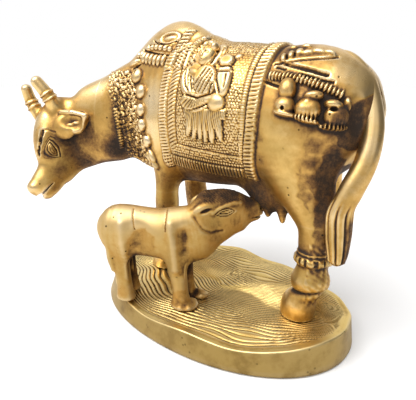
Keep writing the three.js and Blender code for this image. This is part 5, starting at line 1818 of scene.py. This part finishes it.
@dataclass
class Base:
    """The oval base: flat underside, leaning wall, wavy rim and a top of flowing ripples.

    Attributes:
        half_length: Half of its length.
        half_width: Half of its width.
        height: Level of its top.
        rim_heights: The rim's height every 20 degrees, from the rump's end round by the far side.
        ripple: Distance between ripples.
        depth: Height of a ripple.
        around: Points round each ring of its mesh.
        rings: Rings of its top, the rim's included.
        foot: Height of the bevel at the wall's foot.
        bead: Radius of the rounded rim.
    """

    half_length: float = 68.5
    half_width: float = 44.6
    height: float = 11.2
    rim_heights: tuple[float, ...] = (
        13.2, 11.8, 10.8, 10.4, 10.8, 12, 12.2, 11.4, 12, 12, 11.8, 11.4, 10.8, 9.8, 11.9, 10.3, 12, 13.8,
    )
    ripple: float = 1.75
    depth: float = 0.74
    around: int = 640
    rings: int = 118
    foot: float = 0.4
    bead: float = 0.8

    def rim(self, angle: Array) -> Array:
        """The rim's height at an angle round the base: a smooth closed curve through the table."""
        table = np.array(self.rim_heights)[:, None]
        closed = np.vstack([table[-2:], table, table[:3]])
        smooth = catmull_rom(closed, 16)[:, 0]
        degrees = np.degrees(angle) % 360
        places = (np.arange(len(smooth)) / 16 - 2) * 20
        return np.interp(degrees, places, smooth)

    def outline(self, angle: Array, inset: Array) -> Array:
        """The outline at an angle: a superellipse of power 2.1, drawn in towards the middle."""
        c, s = np.cos(angle), np.sin(angle)
        x = np.sign(c) * np.abs(c) ** (2 / 2.1) * self.half_length
        y = np.sign(s) * np.abs(s) ** (2 / 2.1) * self.half_width
        shrink = 1 - inset / np.hypot(x, y)
        return np.stack([x * shrink, y * shrink], axis=-1)

    def phase(self, x: Array, y: Array, share: float) -> Array:
        """Which ripple a point lies on: in from the near rim, then straight across, bent by slow waves."""
        bend = 3.6 * np.sin(x / 12.0 + 0.7) * np.cos(y / 14.0 - 0.4) + 1.8 * np.sin(y / 7.5 + x / 19.0)
        bend = bend + 0.7 * np.sin(x / 4.6 - y / 6.1) + 0.4 * np.sin(y / 2.9 + x / 5.3)
        inward = 42.0 * (1 - share)
        beyond = step_up(y, -2, 42)
        return inward * (1 - beyond) + (0.94 * y + 42.0) * beyond + bend * step_up(inward, 4, 9)

    def build(self, finish: bpy.types.Material) -> list[bpy.types.Object]:
        """The base's one piece: rings from the middle of the underside out, up the wall and in again."""
        angle = np.linspace(0, 2 * np.pi, self.around, endpoint=False)
        far = np.clip(np.sin(angle), 0, 1) ** 0.6
        uneven = 1.1 + 0.8 * np.sin(9 * angle + 1.0) + 0.5 * np.sin(17 * angle)
        lean = (1.2 + 4.3 * np.clip(-np.cos(angle), 0, 1) ** 2 + far * uneven) * 0.92
        rim = self.rim(angle) + 0.45 * far * np.sin(11 * angle + 0.4)
        level = 0 * angle
        bottom = self.outline(angle, level)
        rings = [(bottom * share, level) for share in (0.0, 0.25, 0.5, 0.75, 0.95, 0.99)]
        rings.append((bottom, level + self.foot))
        for rise in np.linspace(0.12, 1.0, 8):
            rings.append((self.outline(angle, lean * rise), self.foot + (rim - 1.3) * rise))
        for turn in np.radians([20, 40, 60, 80, 100]):
            inset = lean + self.bead * (1 - np.cos(turn))
            rings.append((self.outline(angle, inset), rim - 0.9 + self.bead * np.sin(turn)))
        top = self.outline(angle, lean + 2 * self.bead)
        for share in np.linspace(1.0, 0.0, self.rings)[1:]:
            flat = top * share
            fall = (rim - self.height - 0.2) * step_up(share, 0.86, 0.28)
            wave = ribs(self.phase(flat[:, 0], flat[:, 1], share), self.ripple, 0.45) - 0.7
            calm = 0.65 + 0.35 * step_up(waves(np.column_stack([flat, level]), 30, 6), -0.1, 0.8)
            wave = wave * self.depth * calm * step_up(1 - share, 0.035, 0.03)
            rings.append((flat, self.height + fall + wave))
        skin = tube_skin(np.stack([np.column_stack(ring) for ring in rings]))
        skin.marks["hollow"] = np.clip(0.46 + 4.2 * skin.hollows((2, 5)), 0, 1)
        # No painted occlusion shade on the base.
        skin.marks["painted_occlusion"] = np.zeros(len(skin.points))
        # Darker patches round and under the animals' feet.
        skin.marks["stain_and_shade"] = spot_strength(skin.points, BASE_DARK_PATCHES)
        # Wear and painted highlight on the base's top.
        skin.marks["wear_and_highlight"] = wear_and_highlight_at(skin.points, skin.normals(), WEAR_AND_HIGHLIGHT_SPOTS)
        # Painted shade: the wall and whatever faces less than up turn darker and more olive.
        skin.marks["dull_and_shade"] = 0.9 * (1 - step_up(skin.normals()[:, 2], 0.45, 0.5))
        piece = skin.to_object("rippled_base", finish)
        install(piece, "base")
        return [piece]


@dataclass
class Studio:
    """Floor, lights and camera.

    Attributes:
        azimuth: Degrees round from -Y towards +X that the camera stands.
        elevation: Degrees above the horizon.
        distance: From the camera to what it looks at.
        target: What it looks at.
        lens: Focal length for a 36 mm sensor.
    """

    azimuth: float = 38.0
    elevation: float = 17.8
    distance: float = 193.022
    target: tuple[float, float, float] = (-3.362, -5.525, 57.886)
    lens: float = 34.615

    def stand(self, data: bpy.types.ID, back: Array, at: Sequence[float] = (0, 0, 0)) -> bpy.types.Object:
        """A camera or a lamp at a place in metres, its back turned to a direction."""
        right = unit(np.cross(UP, back))
        rows = np.eye(4)
        rows[:3, :3] = np.stack([right, np.cross(back, right), back], axis=1)
        rows[:3, 3] = at
        obj = linked(data.name, data)
        obj.matrix_world = Matrix(rows.tolist())
        return obj

    def camera(self) -> None:
        """The camera at the photograph's viewing angle."""
        az, el = np.radians(self.azimuth), np.radians(self.elevation)
        back = vec(np.sin(az) * np.cos(el), -np.cos(az) * np.cos(el), np.sin(el))
        data = bpy.data.cameras.new("photo_camera")
        data.sensor_width = 36.0
        data.lens = self.lens
        data.clip_start = 0.005
        bpy.context.scene.camera = self.stand(data, back, (np.array(self.target) + self.distance * back) * MM)

    def light(self, name: str, at: Sequence[float], size: float, power: float) -> None:
        """A square soft light that faces the object's middle, 60 mm up."""
        data = bpy.data.lights.new(name, "AREA")
        data.size = size
        data.energy = power
        self.stand(data, unit(np.array(at) - vec(0, 0, 0.06)), at)

    def ceiling(self) -> None:
        """The broad light from above."""
        data = bpy.data.lights.new("ceiling_light", "SUN")
        data.energy = 1.9
        data.angle = np.radians(55)
        self.stand(data, unit(vec(-0.07, -0.46, 0.88)))

    def floor(self) -> None:
        """A pale floor just under the object, 6 m square."""
        mesh = bpy.data.meshes.new("floor")
        corners = [(x, y, -0.0004) for x, y in ((-3.0, -3.0), (3.0, -3.0), (3.0, 3.0), (-3.0, 3.0))]
        mesh.from_pydata(corners, [], [(0, 1, 2, 3)])
        mesh.materials.append(Backdrop().build())
        linked("floor", mesh)

    def air(self) -> None:
        """The surroundings: white behind the object, grey at the camera's height and pale above.

        They are darker to the right, and a bright panel stands high on the left.
        """
        tree = Tree(bpy.data.worlds.new("studio_air"))
        way = tree.place("Generated")
        height = tree.node("ShaderNodeSeparateXYZ", {}, {"Vector": way}, "Z").between(0.4, 0.8, 0.55, 0.9)
        behind = tree.along(way, (-LEVEL[1], LEVEL[0], 0.0)).between(0.3, 0.75)
        shade = tree.along(way, (LEVEL[0], LEVEL[1], 0.0)).between(0.2, 0.75, 1.0, 0.35)
        panel = tree.along(way, (-0.62, -0.62, 0.48)).between(0.8, 0.97, 0.0, 0.4)
        colour = tree.mix(behind, height * shade + panel, (1.0, 1.0, 1.0, 1.0))
        sky = tree.node("ShaderNodeBackground", {}, {"Color": colour})
        bpy.context.scene.world = tree.finished(sky, "ShaderNodeOutputWorld")

    def build(self) -> None:
        """Everything round the object."""
        self.camera()
        self.floor()
        self.light("key_light", (-0.35, -0.55, 0.75), 0.4, 2.4)
        self.light("fill_light", (0.75, -0.45, 0.45), 0.5, 0.3)
        self.ceiling()
        self.air()
        bpy.context.scene.view_settings.view_transform = "Standard"


def main() -> None:
    """Loads the frame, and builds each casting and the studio."""
    logging.basicConfig(level=logging.INFO, format="%(message)s")
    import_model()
    Studio().build()
    cow_brass = Brass("cow_brass_finish").build()
    calf_brass = Brass(
        "calf_brass_finish", bright=(0.56, 0.37, 0.125, 1), pale=(0.76, 0.6, 0.37, 1), gloss=0.5
    ).build()
    base_brass = Brass(
        "base_brass_finish", bright=(0.78, 0.56, 0.18, 1), warm=(0.5, 0.32, 0.082, 1),
        pale=(0.84, 0.66, 0.34, 1), olive=(0.25, 0.16, 0.048, 1), gloss=0.38, pits=0.5,
    ).build()
    pieces = [*Base().build(base_brass), *Calf().build(calf_brass), *Cow().build(cow_brass)]
    for piece in pieces:
        LOG.info("placed %s", piece.name)


if __name__ == "__main__":
    main()
